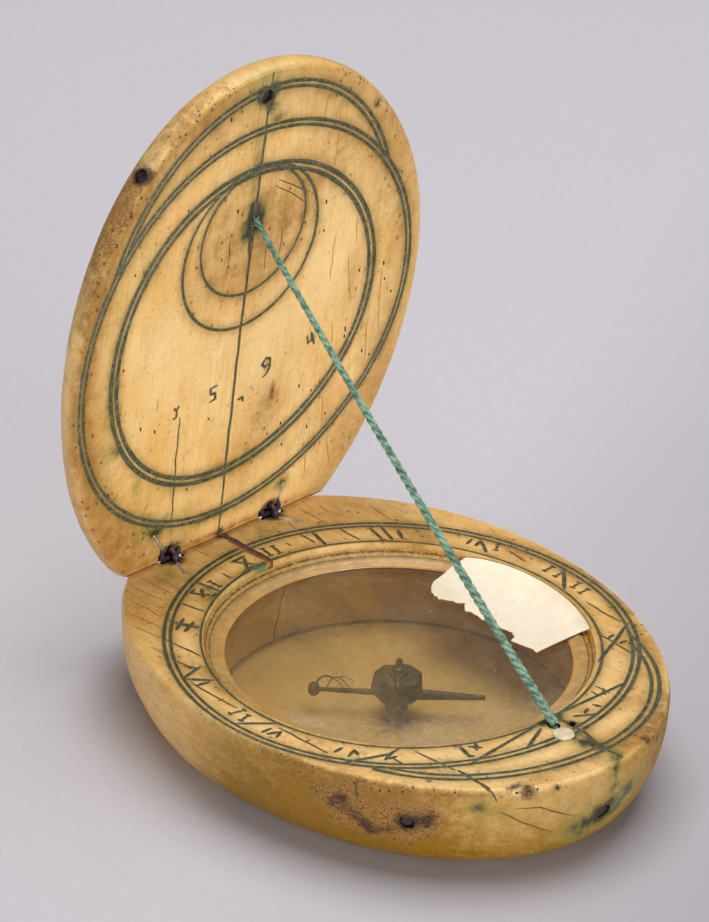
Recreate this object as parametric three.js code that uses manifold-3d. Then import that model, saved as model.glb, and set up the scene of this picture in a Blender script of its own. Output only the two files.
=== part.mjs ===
// Oval ivory pocket sundial: two hinged leaves, a compass under glass and a thread gnomon.
// Millimetres, +Z up. The origin is on the underside, straight below the compass pivot,
// +X to the right of the dial, +Y towards the hinge.
import * as THREE from "three";
import { mergeVertices } from "three/addons/utils/BufferGeometryUtils.js";
import Module from "manifold-3d";

const wasm = await Module();
wasm.setup();

// Clearances
const CLEAR = 0.3;
const SEAT = 0.1;

// Leaf outline, seen from above: two half ellipses on one centre, cut by the hinge chord
const LEAF_CENTRE_X = 0.4;
const LEAF_CENTRE_Y = 2.3;
const LEAF_BACK_REACH = 34.0;
const LEAF_LEAN = 0.03;
const HINGE_Y = 30.84;
const LEAF_SEGMENTS = 80;

// Base leaf
const BASE_HALF_WIDTH = 28.0;
const BASE_FRONT_REACH = 36.4;
const BASE_THICKNESS = 12.3;
const BASE_EDGE_RADIUS = 0.9;
const BASE_BELLY_INSET = 6.2;
const BASE_BELLY_POWER = 2.05;

// Lid leaf, which sits a little to the right of the base
const LID_HALF_WIDTH = 27.7;
const LID_FRONT_REACH = 34.7;
const LID_THICKNESS = 4.8;
const LID_EDGE_RADIUS = 0.6;
const LID_BACK_INSET = 4.6;
const LID_BACK_POWER = 2.0;
const LID_SHIFT_X = 1.2;
const LID_OPEN_DEGREES = 83.9;
const LEAF_GAP = 0.4;

// Compass bowl and its glass
const BOWL_DEPTH = 9.0;
const BOWL_FLOOR_RADIUS = 20.1;
const BOWL_TOP_RADIUS = 20.9;
const REBATE_RADIUS = 22.3;
const GLASS_SINK = 1.9;
const GLASS_THICKNESS = 0.8;
const RING_WIDTH = 1.0;
const RING_HEIGHT = 0.45;
const RING_SPLIT_DEGREES = 5;
const RING_SPLIT_AT_DEGREES = -60;
const LABEL_THICKNESS = 0.15;
const ROUND_SEGMENTS = 56;

// Compass needle
const NEEDLE_SINK = 7.0;
const NEEDLE_TURN_DEGREES = -47;
const NEEDLE_POINT_REACH = 10.1;
const NEEDLE_POINT_RADIUS = 0.22;
const NEEDLE_ROOT_RADIUS = 0.6;
const NEEDLE_TAIL_REACH = 9.9;
const NEEDLE_TAIL_WIDTH = 0.8;
const NEEDLE_THICKNESS = 0.7;
const TAIL_CROSS_WIDTH = 2.4;
const TAIL_CROSS_LENGTH = 0.9;
const PLATE_RADIUS = 2.4;
const HUB_RADIUS = 2.8;
const HUB_TOP_RADIUS = 2.2;
const HUB_HEIGHT = 2.4;
const CAP_RADIUS = 1.0;
const CAP_DROP = 0.55;
const CAP_RISE = 0.9;
const CAP_BORE_RADIUS = 0.65;
const CAP_TIP_WALL = 1.3;
const PIVOT_RADIUS = 0.35;
const PIVOT_FOOT_RADIUS = 1.3;
const PIVOT_FOOT_HEIGHT = 0.4;
const PIVOT_ROOT_DEPTH = 1.6;
const PIVOT_ROOT_RADIUS = 0.5;

// Wire hinges
const WIRE_RADIUS = 0.32;
const WIRE_BURY = 0.1;
const STAPLE_HALF_WIDTH = 1.3;
const STAPLE_LEG_DEPTH = 3.0;
const EYE_LEG_REACH = 4.1;
const EYE_LEG_DEPTH = 3.6;
const WIRE_BEND = 0.55;
const HINGES = [
  { side: "left", x: -6.9, lidHoleX: -9.8, lidHoleV: 3.95, eyeHoleX: -8.2 },
  { side: "right", x: 9.2, lidHoleX: 11.1, lidHoleV: 3.6, eyeHoleX: 10.4 },
];

// Thread gnomon
const THREAD_RADIUS = 0.45;
const THREAD_FOOT_X = -0.05;
const THREAD_FOOT_Y = -24.2;
const THREAD_HOLE_DEPTH = 6.0;
const LID_THREAD_HOLE_X = 0.99;
const LID_THREAD_HOLE_V = 42.79;
const KNOT_RADIUS = 1.3;
const PEG_X = -0.5;
const PEG_Y = -26.1;
const PEG_RADIUS = 1.25;
const PEG_TIP_RADIUS = 0.9;
const PEG_LENGTH = 5.0;
const PEG_PROUD = 0.15;
const THREAD_POINTS = [
  [-0.05, -24.2, 12.55], [0.01, -21.06, 15.02], [0.08, -17.92, 17.51], [0.14, -14.77, 20.02],
  [0.21, -11.63, 22.56], [0.27, -8.49, 25.13], [0.34, -5.35, 27.71], [0.4, -2.2, 30.32],
  [0.47, 0.94, 32.95], [0.53, 4.08, 35.61], [0.59, 7.22, 38.28], [0.66, 10.37, 40.99],
  [0.72, 13.51, 43.71], [0.79, 16.65, 46.46], [0.85, 19.8, 49.24], [0.92, 22.94, 52.03],
  [0.98, 26.08, 54.85],
];

// Pin stubs left in the rims and in the lid
const PIN_RADIUS = 0.55;
const PIN_LENGTH = 2.6;
const PIN_SUNK = 0.4;
const BASE_SIDE_PIN = { degrees: -137.5, depth: 4.93 };
const BASE_FRONT_PIN = { degrees: -91.4, depth: 6.17 };
const LID_RIM_PIN = { degrees: -131.2, depth: 2.5 };
const LID_TOP_PIN_X = 0.72;
const LID_TOP_PIN_V = 58.91;

// Heights that follow from the sizes above
const GLASS_TOP_Z = BASE_THICKNESS - GLASS_SINK;
const GLASS_LEDGE_Z = GLASS_TOP_Z - GLASS_THICKNESS - SEAT;
const BOWL_FLOOR_Z = BASE_THICKNESS - BOWL_DEPTH;
const NEEDLE_Z = BASE_THICKNESS - NEEDLE_SINK;
const AXIS_Z = BASE_THICKNESS + LEAF_GAP / 2;
const EYE_RADIUS = 2 * WIRE_RADIUS + CLEAR;
const NOTCH_REACH = EYE_RADIUS + WIRE_RADIUS + CLEAR;
const NOTCH_HALF_WIDTH = STAPLE_HALF_WIDTH + WIRE_RADIUS + CLEAR;

const material = (color, roughness, metalness = 0) =>
  new THREE.MeshStandardMaterial({ color, roughness, metalness });
const IVORY = material(0xdcb273, 0.45);
const GLASS = material(0xd8dcd0, 0.05);
const HORN = material(0xc9a05a, 0.5);
const PAPER = material(0xf2ebdc, 0.9);
const IRON = material(0x4a4032, 0.55, 0.8);
const BRASS = material(0x8f7138, 0.45, 0.9);
const COPPER = material(0x7a4b33, 0.6, 0.8);
const THREAD = material(0x54967d, 0.9);
const BONE = material(0xebe4d7, 0.5);

// Booleans
function solidOf(geometry) {
  const bare = geometry.index ? geometry.toNonIndexed() : geometry.clone();
  bare.deleteAttribute("normal");
  bare.deleteAttribute("uv");
  const merged = mergeVertices(bare, 1e-4);
  return new wasm.Manifold(
    new wasm.Mesh({
      numProp: 3,
      vertProperties: merged.attributes.position.array,
      triVerts: new Uint32Array(merged.index.array),
    }),
  );
}

function geometryOf(solid) {
  const mesh = solid.getMesh();
  const geometry = new THREE.BufferGeometry();
  geometry.setAttribute("position", new THREE.BufferAttribute(mesh.vertProperties, 3));
  geometry.setIndex(new THREE.BufferAttribute(mesh.triVerts, 1));
  const flat = geometry.toNonIndexed();
  flat.computeVertexNormals();
  return flat;
}

function cut(geometry, cutters) {
  let solid = solidOf(geometry);
  for (const cutter of cutters) solid = solid.subtract(solidOf(cutter));
  return geometryOf(solid);
}

function join(geometries) {
  let solid = solidOf(geometries[0]);
  for (const geometry of geometries.slice(1)) solid = solid.add(solidOf(geometry));
  return geometryOf(solid);
}

// A body of revolution about Z from [radius, height] points listed from the bottom up.
function turned(points, segments = ROUND_SEGMENTS) {
  const profile = points.map(([radius, height]) => new THREE.Vector2(radius, height));
  return new THREE.LatheGeometry(profile, segments).rotateX(Math.PI / 2);
}

// A straight round bar from one point along a direction.
function bar(radius, length, from, direction, segments = 16) {
  const along = new THREE.Vector3(...direction).normalize();
  const turn = new THREE.Quaternion().setFromUnitVectors(new THREE.Vector3(0, 1, 0), along);
  const middle = new THREE.Vector3(...from).addScaledVector(along, length / 2);
  return new THREE.CylinderGeometry(radius, radius, length, segments)
    .applyQuaternion(turn)
    .translate(middle.x, middle.y, middle.z);
}

function block(low, high) {
  const size = high.map((value, axis) => value - low[axis]);
  const middle = high.map((value, axis) => (value + low[axis]) / 2);
  return new THREE.BoxGeometry(...size).translate(...middle);
}

function roundSection(radius, sides) {
  const corners = [];
  for (let i = 0; i < sides; i++) {
    const angle = (2 * Math.PI * i) / sides;
    corners.push(new THREE.Vector2(radius * Math.cos(angle), radius * Math.sin(angle)));
  }
  return new THREE.Shape(corners);
}

// A bent wire: straight runs between the points, rounded at each bend.
function wire(points, radius, sides = 8) {
  const at = points.map((point) => new THREE.Vector3(...point));
  const path = new THREE.CurvePath();
  let from = at[0];
  for (let i = 1; i < at.length; i++) {
    if (i === at.length - 1) {
      path.add(new THREE.LineCurve3(from, at[i]));
      continue;
    }
    const before = Math.min(WIRE_BEND, at[i].distanceTo(at[i - 1]) * 0.45);
    const after = Math.min(WIRE_BEND, at[i].distanceTo(at[i + 1]) * 0.45);
    const bendStart = at[i].clone().add(
      at[i - 1].clone().sub(at[i]).setLength(before));
    const bendEnd = at[i].clone().add(
      at[i + 1].clone().sub(at[i]).setLength(after));
    path.add(new THREE.LineCurve3(from, bendStart));
    path.add(new THREE.QuadraticBezierCurve3(bendStart, at[i], bendEnd));
    from = bendEnd;
  }
  const steps = Math.ceil(path.getLength() / WIRE_RADIUS);
  return new THREE.ExtrudeGeometry(roundSection(radius, sides), {
    steps, extrudePath: path, bevelEnabled: false,
  });
}

// Leaves
const basePlan = { halfWidth: BASE_HALF_WIDTH, frontReach: BASE_FRONT_REACH, shift: 0 };
const lidPlan = { halfWidth: LID_HALF_WIDTH, frontReach: LID_FRONT_REACH, shift: LID_SHIFT_X };

function planPoint(plan, angle, inset) {
  const reach = Math.sin(angle) < 0 ? plan.frontReach : LEAF_BACK_REACH;
  const y = Math.sin(angle) * (reach - inset);
  const x = Math.cos(angle) * (plan.halfWidth - inset) + LEAF_LEAN * y;
  return [LEAF_CENTRE_X + plan.shift + x, LEAF_CENTRE_Y + y];
}

function planNormal(plan, angle) {
  const reach = Math.sin(angle) < 0 ? plan.frontReach : LEAF_BACK_REACH;
  const normal = new THREE.Vector2(Math.cos(angle) / plan.halfWidth, Math.sin(angle) / reach);
  return normal.normalize();
}

// How far the side of a leaf lies inside the outline at a depth below its inner face.
function sideInset(depth, thickness, edge, inset, power) {
  if (depth < edge) return edge - Math.sqrt(Math.max(0, edge ** 2 - (edge - depth) ** 2));
  const share = Math.min(1, (depth - edge) / (thickness - edge));
  return inset * (1 - (1 - share ** power) ** (1 / power));
}

// The lathe of a side profile, with every ring of it drawn out to the leaf's oval.
// The inner face is at height 0 and faces down, or with faceUp at the thickness and faces up.
function leafBody(plan, thickness, edge, inset, power, faceUp) {
  const depths = [];
  for (let i = 0; i <= 3; i++) depths.push(edge * (1 - Math.cos((i * Math.PI) / 6)));
  for (let i = 1; i <= 9; i++) {
    const share = Math.sin((i * Math.PI) / 18) ** (2 / power);
    depths.push(edge + (thickness - edge) * share);
  }
  const radius = plan.halfWidth;
  const profile = [[0, 0]];
  for (const depth of depths) {
    profile.push([radius - sideInset(depth, thickness, edge, inset, power), depth]);
  }
  profile.push([0, thickness]);
  const upright = faceUp ? profile.map(([r, depth]) => [r, thickness - depth]).reverse() : profile;
  const body = turned(upright, LEAF_SEGMENTS);
  const spot = body.getAttribute("position");
  for (let i = 0; i < spot.count; i++) {
    const reach = Math.hypot(spot.getX(i), spot.getY(i));
    const angle = Math.atan2(spot.getY(i), spot.getX(i));
    const middle = [LEAF_CENTRE_X + plan.shift, LEAF_CENTRE_Y];
    const place = reach < 1e-6 ? middle : planPoint(plan, angle, radius - reach);
    spot.setXY(i, place[0], place[1]);
  }
  return body;
}

const behindHinge = (low, high) =>
  block([-BASE_HALF_WIDTH * 2, HINGE_Y, low], [BASE_HALF_WIDTH * 2, HINGE_Y + LEAF_BACK_REACH, high]);

function notch(hinge, lowZ, highZ) {
  return block(
    [hinge.x - NOTCH_HALF_WIDTH, HINGE_Y - NOTCH_REACH, lowZ],
    [hinge.x + NOTCH_HALF_WIDTH, HINGE_Y + NOTCH_REACH, highZ],
  );
}

// The eye's leg lies in a groove of the base's top face and turns down into a hole.
function eyeLeg(hinge, extra) {
  const z = BASE_THICKNESS - WIRE_RADIUS - WIRE_BURY;
  const drop = AXIS_Z - z;
  const back = Math.sqrt(Math.max(0.01, EYE_RADIUS ** 2 - drop ** 2));
  return [
    [hinge.x, HINGE_Y - back, z],
    [hinge.eyeHoleX, HINGE_Y - EYE_LEG_REACH, z],
    [hinge.eyeHoleX, HINGE_Y - EYE_LEG_REACH, z - EYE_LEG_DEPTH - extra],
  ];
}

// The staple's bar lies on the hinge axis; one leg goes to the lid hole, one stays in the notch.
function staplePoints(hinge, extra) {
  const outward = Math.sign(hinge.lidHoleX - hinge.x);
  const face = AXIS_Z + LEAF_GAP / 2;
  const z = face + WIRE_RADIUS + WIRE_BURY;
  const near = hinge.x + outward * STAPLE_HALF_WIDTH;
  const far = hinge.x - outward * STAPLE_HALF_WIDTH;
  const holeY = HINGE_Y - hinge.lidHoleV;
  return [
    [hinge.lidHoleX, holeY, z + STAPLE_LEG_DEPTH + extra],
    [hinge.lidHoleX, holeY, z],
    [near, HINGE_Y - NOTCH_REACH, z],
    [near, HINGE_Y, AXIS_Z],
    [far, HINGE_Y, AXIS_Z],
    [far, HINGE_Y - NOTCH_REACH / 2, z],
    [far, HINGE_Y - NOTCH_REACH / 2, z + STAPLE_LEG_DEPTH + extra],
  ];
}

function rimPin(plan, pin, inset, z, radius, length, sunk) {
  const angle = THREE.MathUtils.degToRad(pin.degrees);
  const [x, y] = planPoint(plan, angle, inset);
  const normal = planNormal(plan, angle);
  const start = [x - normal.x * sunk, y - normal.y * sunk, z];
  return bar(radius, length, start, [-normal.x, -normal.y, 0]);
}

const baseInset = (depth) =>
  sideInset(depth, BASE_THICKNESS, BASE_EDGE_RADIUS, BASE_BELLY_INSET, BASE_BELLY_POWER);
const lidInset = (depth) =>
  sideInset(depth, LID_THICKNESS, LID_EDGE_RADIUS, LID_BACK_INSET, LID_BACK_POWER);
const LID_FACE_Z = AXIS_Z + LEAF_GAP / 2;

function basePin(pin, radius, length, sunk) {
  const z = BASE_THICKNESS - pin.depth;
  return rimPin(basePlan, pin, baseInset(pin.depth), z, radius, length, sunk);
}

function lidRimPin(radius, length, sunk) {
  const z = LID_FACE_Z + LID_RIM_PIN.depth;
  return rimPin(lidPlan, LID_RIM_PIN, lidInset(LID_RIM_PIN.depth), z, radius, length, sunk);
}

const down = [0, 0, -1];
const above = BASE_THICKNESS + 1;
const pinHole = { radius: PIN_RADIUS + CLEAR, length: PIN_SUNK + PIN_LENGTH + SEAT + 1, sunk: -1 };

// Pieces in the base's frame
const baseBody = leafBody(
  basePlan, BASE_THICKNESS, BASE_EDGE_RADIUS, BASE_BELLY_INSET, BASE_BELLY_POWER, true);

const bowl = turned([
  [0, BOWL_FLOOR_Z],
  [BOWL_FLOOR_RADIUS, BOWL_FLOOR_Z],
  [BOWL_TOP_RADIUS, GLASS_LEDGE_Z],
  [REBATE_RADIUS, GLASS_LEDGE_Z],
  [REBATE_RADIUS, above],
  [0, above],
]);

const baseLeaf = cut(baseBody, [
  behindHinge(-1, above),
  bowl,
  bar(PIVOT_ROOT_RADIUS + SEAT, PIVOT_ROOT_DEPTH + SEAT + 1, [0, 0, BOWL_FLOOR_Z + 1], down),
  bar(THREAD_RADIUS + CLEAR, THREAD_HOLE_DEPTH + 1, [THREAD_FOOT_X, THREAD_FOOT_Y, above], down),
  bar(PEG_RADIUS + SEAT, PEG_LENGTH + SEAT + 1, [PEG_X, PEG_Y, above], down, 20),
  basePin(BASE_SIDE_PIN, pinHole.radius, pinHole.length, pinHole.sunk),
  basePin(BASE_FRONT_PIN, pinHole.radius, pinHole.length, pinHole.sunk),
  ...HINGES.map((hinge) => notch(hinge, AXIS_Z - NOTCH_REACH, above)),
  ...HINGES.map((hinge) => wire(eyeLeg(hinge, SEAT), WIRE_RADIUS + CLEAR)),
]);

const glass = turned([
  [0, GLASS_TOP_Z - GLASS_THICKNESS],
  [REBATE_RADIUS - CLEAR, GLASS_TOP_Z - GLASS_THICKNESS],
  [REBATE_RADIUS - CLEAR, GLASS_TOP_Z],
  [0, GLASS_TOP_Z],
]);

function splitRing() {
  const outer = REBATE_RADIUS - CLEAR;
  const start = THREE.MathUtils.degToRad(RING_SPLIT_AT_DEGREES + RING_SPLIT_DEGREES / 2);
  const turn = THREE.MathUtils.degToRad(360 - RING_SPLIT_DEGREES);
  const outline = new THREE.Shape();
  outline.absarc(0, 0, outer, start, start + turn, false);
  outline.absarc(0, 0, outer - RING_WIDTH, start + turn, start, true);
  return new THREE.ExtrudeGeometry(outline, {
    depth: RING_HEIGHT, bevelEnabled: false, curveSegments: ROUND_SEGMENTS,
  }).translate(0, 0, GLASS_TOP_Z + SEAT);
}

// The scrap's torn side is drawn freely; its round side stays inside the ring.
const LABEL_TORN_SIDE = [
  [17.6, -10.2], [12.1, -10.2], [11.9, -6.7], [13.1, -4.8], [13.0, -1.8], [13.8, 2.7],
  [12.2, 5.5], [13.2, 8.3], [17.8, 9.4],
];

function paperLabel() {
  const reach = REBATE_RADIUS - CLEAR - RING_WIDTH - CLEAR;
  const first = LABEL_TORN_SIDE[0];
  const last = LABEL_TORN_SIDE[LABEL_TORN_SIDE.length - 1];
  const outline = new THREE.Shape();
  outline.absarc(0, 0, reach, Math.atan2(last[1], last[0]), Math.atan2(first[1], first[0]), true);
  for (const [x, y] of LABEL_TORN_SIDE) outline.lineTo(x, y);
  return new THREE.ExtrudeGeometry(outline, {
    depth: LABEL_THICKNESS, bevelEnabled: false, curveSegments: 12,
  }).translate(0, 0, GLASS_TOP_Z + SEAT);
}

const PIVOT_TIP_Z = NEEDLE_Z + NEEDLE_THICKNESS / 2 + HUB_HEIGHT + CAP_RISE - CAP_TIP_WALL - CLEAR;
const pivotPin = turned([
  [0, BOWL_FLOOR_Z - PIVOT_ROOT_DEPTH],
  [PIVOT_ROOT_RADIUS, BOWL_FLOOR_Z - PIVOT_ROOT_DEPTH],
  [PIVOT_ROOT_RADIUS, BOWL_FLOOR_Z + SEAT],
  [PIVOT_FOOT_RADIUS, BOWL_FLOOR_Z + SEAT],
  [PIVOT_FOOT_RADIUS, BOWL_FLOOR_Z + SEAT + PIVOT_FOOT_HEIGHT],
  [PIVOT_RADIUS, BOWL_FLOOR_Z + SEAT + PIVOT_FOOT_HEIGHT],
  [PIVOT_RADIUS, PIVOT_TIP_Z - 2 * PIVOT_RADIUS],
  [0, PIVOT_TIP_Z],
], 16);

const threadTail = bar(
  THREAD_RADIUS, THREAD_HOLE_DEPTH - 2 * SEAT,
  [THREAD_FOOT_X, THREAD_FOOT_Y, BASE_THICKNESS - SEAT], down, 8);

const threadPath = new THREE.CatmullRomCurve3(
  THREAD_POINTS.map((point) => new THREE.Vector3(...point)));
const thread = new THREE.ExtrudeGeometry(roundSection(THREAD_RADIUS, 8), {
  steps: 28, extrudePath: threadPath, bevelEnabled: false,
});

const peg = turned([
  [0, BASE_THICKNESS - PEG_LENGTH],
  [PEG_TIP_RADIUS, BASE_THICKNESS - PEG_LENGTH],
  [PEG_RADIUS, BASE_THICKNESS - SEAT],
  [PEG_RADIUS * 0.8, BASE_THICKNESS + PEG_PROUD],
  [0, BASE_THICKNESS + PEG_PROUD],
], 20).translate(PEG_X, PEG_Y, 0);

function hingeEye(hinge) {
  const ring = new THREE.TorusGeometry(EYE_RADIUS, WIRE_RADIUS, 8, 24)
    .rotateY(Math.PI / 2)
    .translate(hinge.x, HINGE_Y, AXIS_Z);
  return join([ring, wire(eyeLeg(hinge, 0), WIRE_RADIUS)]);
}

// Needle pieces, about the pivot, along +X before they are turned
const plateTop = NEEDLE_THICKNESS / 2;
const capTop = plateTop + HUB_HEIGHT + CAP_RISE;
const needleBar = cut(
  join([
    turned([
      [0, -plateTop], [PLATE_RADIUS, -plateTop], [PLATE_RADIUS, plateTop], [0, plateTop],
    ], 32),
    block(
      [-NEEDLE_TAIL_REACH, -NEEDLE_TAIL_WIDTH / 2, -plateTop],
      [-PLATE_RADIUS / 2, NEEDLE_TAIL_WIDTH / 2, plateTop]),
    block(
      [-NEEDLE_TAIL_REACH, -TAIL_CROSS_WIDTH / 2, -plateTop],
      [TAIL_CROSS_LENGTH - NEEDLE_TAIL_REACH, TAIL_CROSS_WIDTH / 2, plateTop]),
    new THREE.CylinderGeometry(
      NEEDLE_POINT_RADIUS, NEEDLE_ROOT_RADIUS, NEEDLE_POINT_REACH - PLATE_RADIUS / 2, 12)
      .rotateZ(-Math.PI / 2)
      .translate((NEEDLE_POINT_REACH + PLATE_RADIUS / 2) / 2, 0, 0),
  ]),
  [bar(CAP_RADIUS + SEAT, 4 * NEEDLE_ROOT_RADIUS, [0, 0, 2 * NEEDLE_ROOT_RADIUS], down, 24)],
);

const hubFoot = NEEDLE_ROOT_RADIUS + SEAT;
const needleHub = turned([
  [CAP_RADIUS + SEAT, hubFoot],
  [HUB_RADIUS, hubFoot],
  [HUB_RADIUS, hubFoot + (plateTop + HUB_HEIGHT - hubFoot) * 0.55],
  [HUB_TOP_RADIUS, plateTop + HUB_HEIGHT],
  [CAP_RADIUS + SEAT, plateTop + HUB_HEIGHT],
  [CAP_RADIUS + SEAT, hubFoot],
], 32);

const needleCap = turned([
  [0, capTop - CAP_TIP_WALL],
  [CAP_BORE_RADIUS, capTop - CAP_TIP_WALL - CAP_BORE_RADIUS],
  [CAP_BORE_RADIUS, -plateTop - CAP_DROP],
  [CAP_RADIUS, -plateTop - CAP_DROP],
  [CAP_RADIUS, plateTop + HUB_HEIGHT + CAP_RISE * 0.3],
  [CAP_RADIUS * 0.6, plateTop + HUB_HEIGHT + CAP_RISE * 0.6],
  [CAP_RADIUS * 0.45, capTop],
  [0, capTop],
], 24);

// Lid pieces, made lying closed on the base and then opened with the lid's group
const lidBody = leafBody(
  lidPlan, LID_THICKNESS, LID_EDGE_RADIUS, LID_BACK_INSET, LID_BACK_POWER, false)
  .translate(0, 0, LID_FACE_Z);
const lidTop = LID_FACE_Z + LID_THICKNESS;
const lidLeaf = cut(lidBody, [
  behindHinge(LID_FACE_Z - 1, lidTop + 1),
  bar(THREAD_RADIUS + CLEAR, LID_THICKNESS + 2,
    [LID_THREAD_HOLE_X, HINGE_Y - LID_THREAD_HOLE_V, lidTop + 1], down),
  bar(pinHole.radius, LID_THICKNESS + 2, [LID_TOP_PIN_X, HINGE_Y - LID_TOP_PIN_V, lidTop + 1], down),
  lidRimPin(pinHole.radius, pinHole.length, pinHole.sunk),
  ...HINGES.map((hinge) => notch(hinge, LID_FACE_Z - 1, AXIS_Z + NOTCH_REACH)),
  ...HINGES.map((hinge) => wire(staplePoints(hinge, SEAT), WIRE_RADIUS + CLEAR)),
]);

const threadKnot = join([
  bar(THREAD_RADIUS, LID_THICKNESS, [LID_THREAD_HOLE_X, HINGE_Y - LID_THREAD_HOLE_V, LID_FACE_Z + SEAT],
    [0, 0, 1], 8),
  new THREE.SphereGeometry(KNOT_RADIUS, 16, 10)
    .translate(LID_THREAD_HOLE_X, HINGE_Y - LID_THREAD_HOLE_V, lidTop + KNOT_RADIUS),
]);
const lidTopPin = bar(
  PIN_RADIUS, LID_THICKNESS - 2 * PIN_SUNK,
  [LID_TOP_PIN_X, HINGE_Y - LID_TOP_PIN_V, LID_FACE_Z + PIN_SUNK], [0, 0, 1]);

// Assembly
const dial = new THREE.Group();

function add(parent, name, geometry, look) {
  const mesh = new THREE.Mesh(geometry, look);
  mesh.name = name;
  parent.add(mesh);
}

add(dial, "base_leaf", baseLeaf, IVORY);
add(dial, "compass_glass", glass, GLASS);
add(dial, "glass_retaining_ring", splitRing(), HORN);
add(dial, "paper_label", paperLabel(), PAPER);
add(dial, "pivot_pin", pivotPin, BRASS);
add(dial, "string_gnomon", thread, THREAD);
add(dial, "string_tail", threadTail, THREAD);
add(dial, "string_peg", peg, BONE);
add(dial, "base_side_pin", basePin(BASE_SIDE_PIN, PIN_RADIUS, PIN_LENGTH, PIN_SUNK), COPPER);
add(dial, "base_front_pin", basePin(BASE_FRONT_PIN, PIN_RADIUS, PIN_LENGTH, PIN_SUNK), COPPER);
for (const hinge of HINGES) add(dial, hinge.side + "_base_eye", hingeEye(hinge), COPPER);

const needle = new THREE.Group();
needle.position.set(0, 0, NEEDLE_Z);
needle.rotation.z = THREE.MathUtils.degToRad(NEEDLE_TURN_DEGREES);
add(needle, "needle_bar", needleBar, IRON);
add(needle, "needle_hub", needleHub, IRON);
add(needle, "needle_cap", needleCap, BRASS);
dial.add(needle);

const lid = new THREE.Group();
const lidPieces = new THREE.Group();
lidPieces.position.set(0, -HINGE_Y, -AXIS_Z);
lid.position.set(0, HINGE_Y, AXIS_Z);
lid.rotation.x = -THREE.MathUtils.degToRad(LID_OPEN_DEGREES);
add(lidPieces, "lid_leaf", lidLeaf, IVORY);
add(lidPieces, "string_knot", threadKnot, THREAD);
add(lidPieces, "lid_top_pin", lidTopPin, COPPER);
add(lidPieces, "lid_rim_pin", lidRimPin(PIN_RADIUS, PIN_LENGTH, PIN_SUNK), COPPER);
for (const hinge of HINGES) {
  add(lidPieces, hinge.side + "_lid_staple", wire(staplePoints(hinge, 0), WIRE_RADIUS), COPPER);
}
lid.add(lidPieces);
dial.add(lid);

export default dial;
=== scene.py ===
"""Oval ivory pocket sundial, opened: engraved leaves, thread gnomon and a compass under glass.

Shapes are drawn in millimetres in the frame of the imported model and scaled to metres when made.
The lid is drawn lying closed on the base and is then turned open about the hinge.
"""
import math
import random

import bmesh
import bpy
import numpy as np
from mathutils import Matrix, noise
from mathutils.kdtree import KDTree


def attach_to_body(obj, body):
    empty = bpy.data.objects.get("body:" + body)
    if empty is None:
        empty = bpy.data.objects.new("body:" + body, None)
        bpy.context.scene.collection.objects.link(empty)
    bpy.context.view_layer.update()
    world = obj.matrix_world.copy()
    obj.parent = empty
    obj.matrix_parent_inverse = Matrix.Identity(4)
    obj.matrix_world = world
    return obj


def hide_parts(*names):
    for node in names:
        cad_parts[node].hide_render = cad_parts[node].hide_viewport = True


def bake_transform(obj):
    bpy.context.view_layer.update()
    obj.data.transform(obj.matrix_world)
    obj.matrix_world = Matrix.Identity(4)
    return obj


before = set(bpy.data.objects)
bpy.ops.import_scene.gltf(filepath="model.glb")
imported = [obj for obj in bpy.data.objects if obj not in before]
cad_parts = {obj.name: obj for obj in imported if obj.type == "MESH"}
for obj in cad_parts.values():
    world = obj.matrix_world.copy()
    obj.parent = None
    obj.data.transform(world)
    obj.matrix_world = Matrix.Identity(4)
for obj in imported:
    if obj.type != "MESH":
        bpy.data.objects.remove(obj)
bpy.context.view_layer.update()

bl_info = {
    "name": "Ivory pocket sundial",
    "version": (1, 0, 0),
    "blender": (4, 5, 0),
    "location": "View3D > Sidebar > Sundial",
    "description": "Builds an oval ivory pocket sundial on its packed CAD frame",
    "category": "Object",
}

MM = 0.001
HINGE_Y = 30.84
AXIS_Z = 12.5
LID_FACE_Z = 12.7
LID_OPEN = math.radians(83.9)
BASE_TOP = 12.3
LEAF_CENTRE = (0.4, 2.3)
GLASS_TOP = 10.4
VIEW_SLIDE = (1.307, 1.271)
BOWL_FLOOR = 2.5
NEEDLE_Z = 5.3
NEEDLE_TURN = math.radians(-47)
NOTCH_REACH = 1.56
EYE_RADIUS = 0.94
EYE_HOLE_BACK = 4.1
EYE_HOLE_DEPTH = 3.6
STAPLE_HALF = 1.3
STAPLE_HOLE_DEPTH = 3.0
# Radii of the room left for a hinge's eye, axis and legs, and half the length of the axis room.
EYE_ROOM = 0.5
AXIS_ROOM = 0.7
LEG_ROOM = 0.22
AXIS_ROOM_HALF = 1.75
LID_CHORD = HINGE_Y + 0.5
BOWL_RADIUS = 20.9
BOWL_MOUTH = 22.45
REBATE_FLOOR = 9.5
REBATE_RADIUS = 22.3
LABEL_REACH = 22.14
THREAD_ENTRY = (-0.05, -24.2)
THREAD_HOLE = (0.99, HINGE_Y - 42.79)
PEG_SPOT = (-0.5, -26.1)
PIN_HOLE_RADIUS = 0.85
PIN_HOLE_LENGTH = 4.1
STUB_RADIUS = 0.72
LID_TOP_PIN = (0.72, HINGE_Y - 58.91)
# The other pins stand in a leaf's side: degrees round the leaf and depth below its face.
BASE_SIDE_PIN = (-137.5, 4.93)
BASE_FRONT_PIN = (-91.4, 6.17)
LID_RIM_PIN = (-132.2, 1.5)
# Rings of points on the worn edge and on the back of a leaf, and sides of a ply of the thread.
EDGE_RINGS = 6
BACK_RINGS = 16
PLY_SIDES = 10
# How close to a plane a point counts as lying in it.
FLAT_GAP = 0.05
HINGES = (
    {"side": "left", "x": -6.9, "lid_hole": (-9.8, 3.95), "eye_hole_x": -8.2},
    {"side": "right", "x": 9.2, "lid_hole": (11.1, 3.6), "eye_hole_x": 10.4},
)

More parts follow.
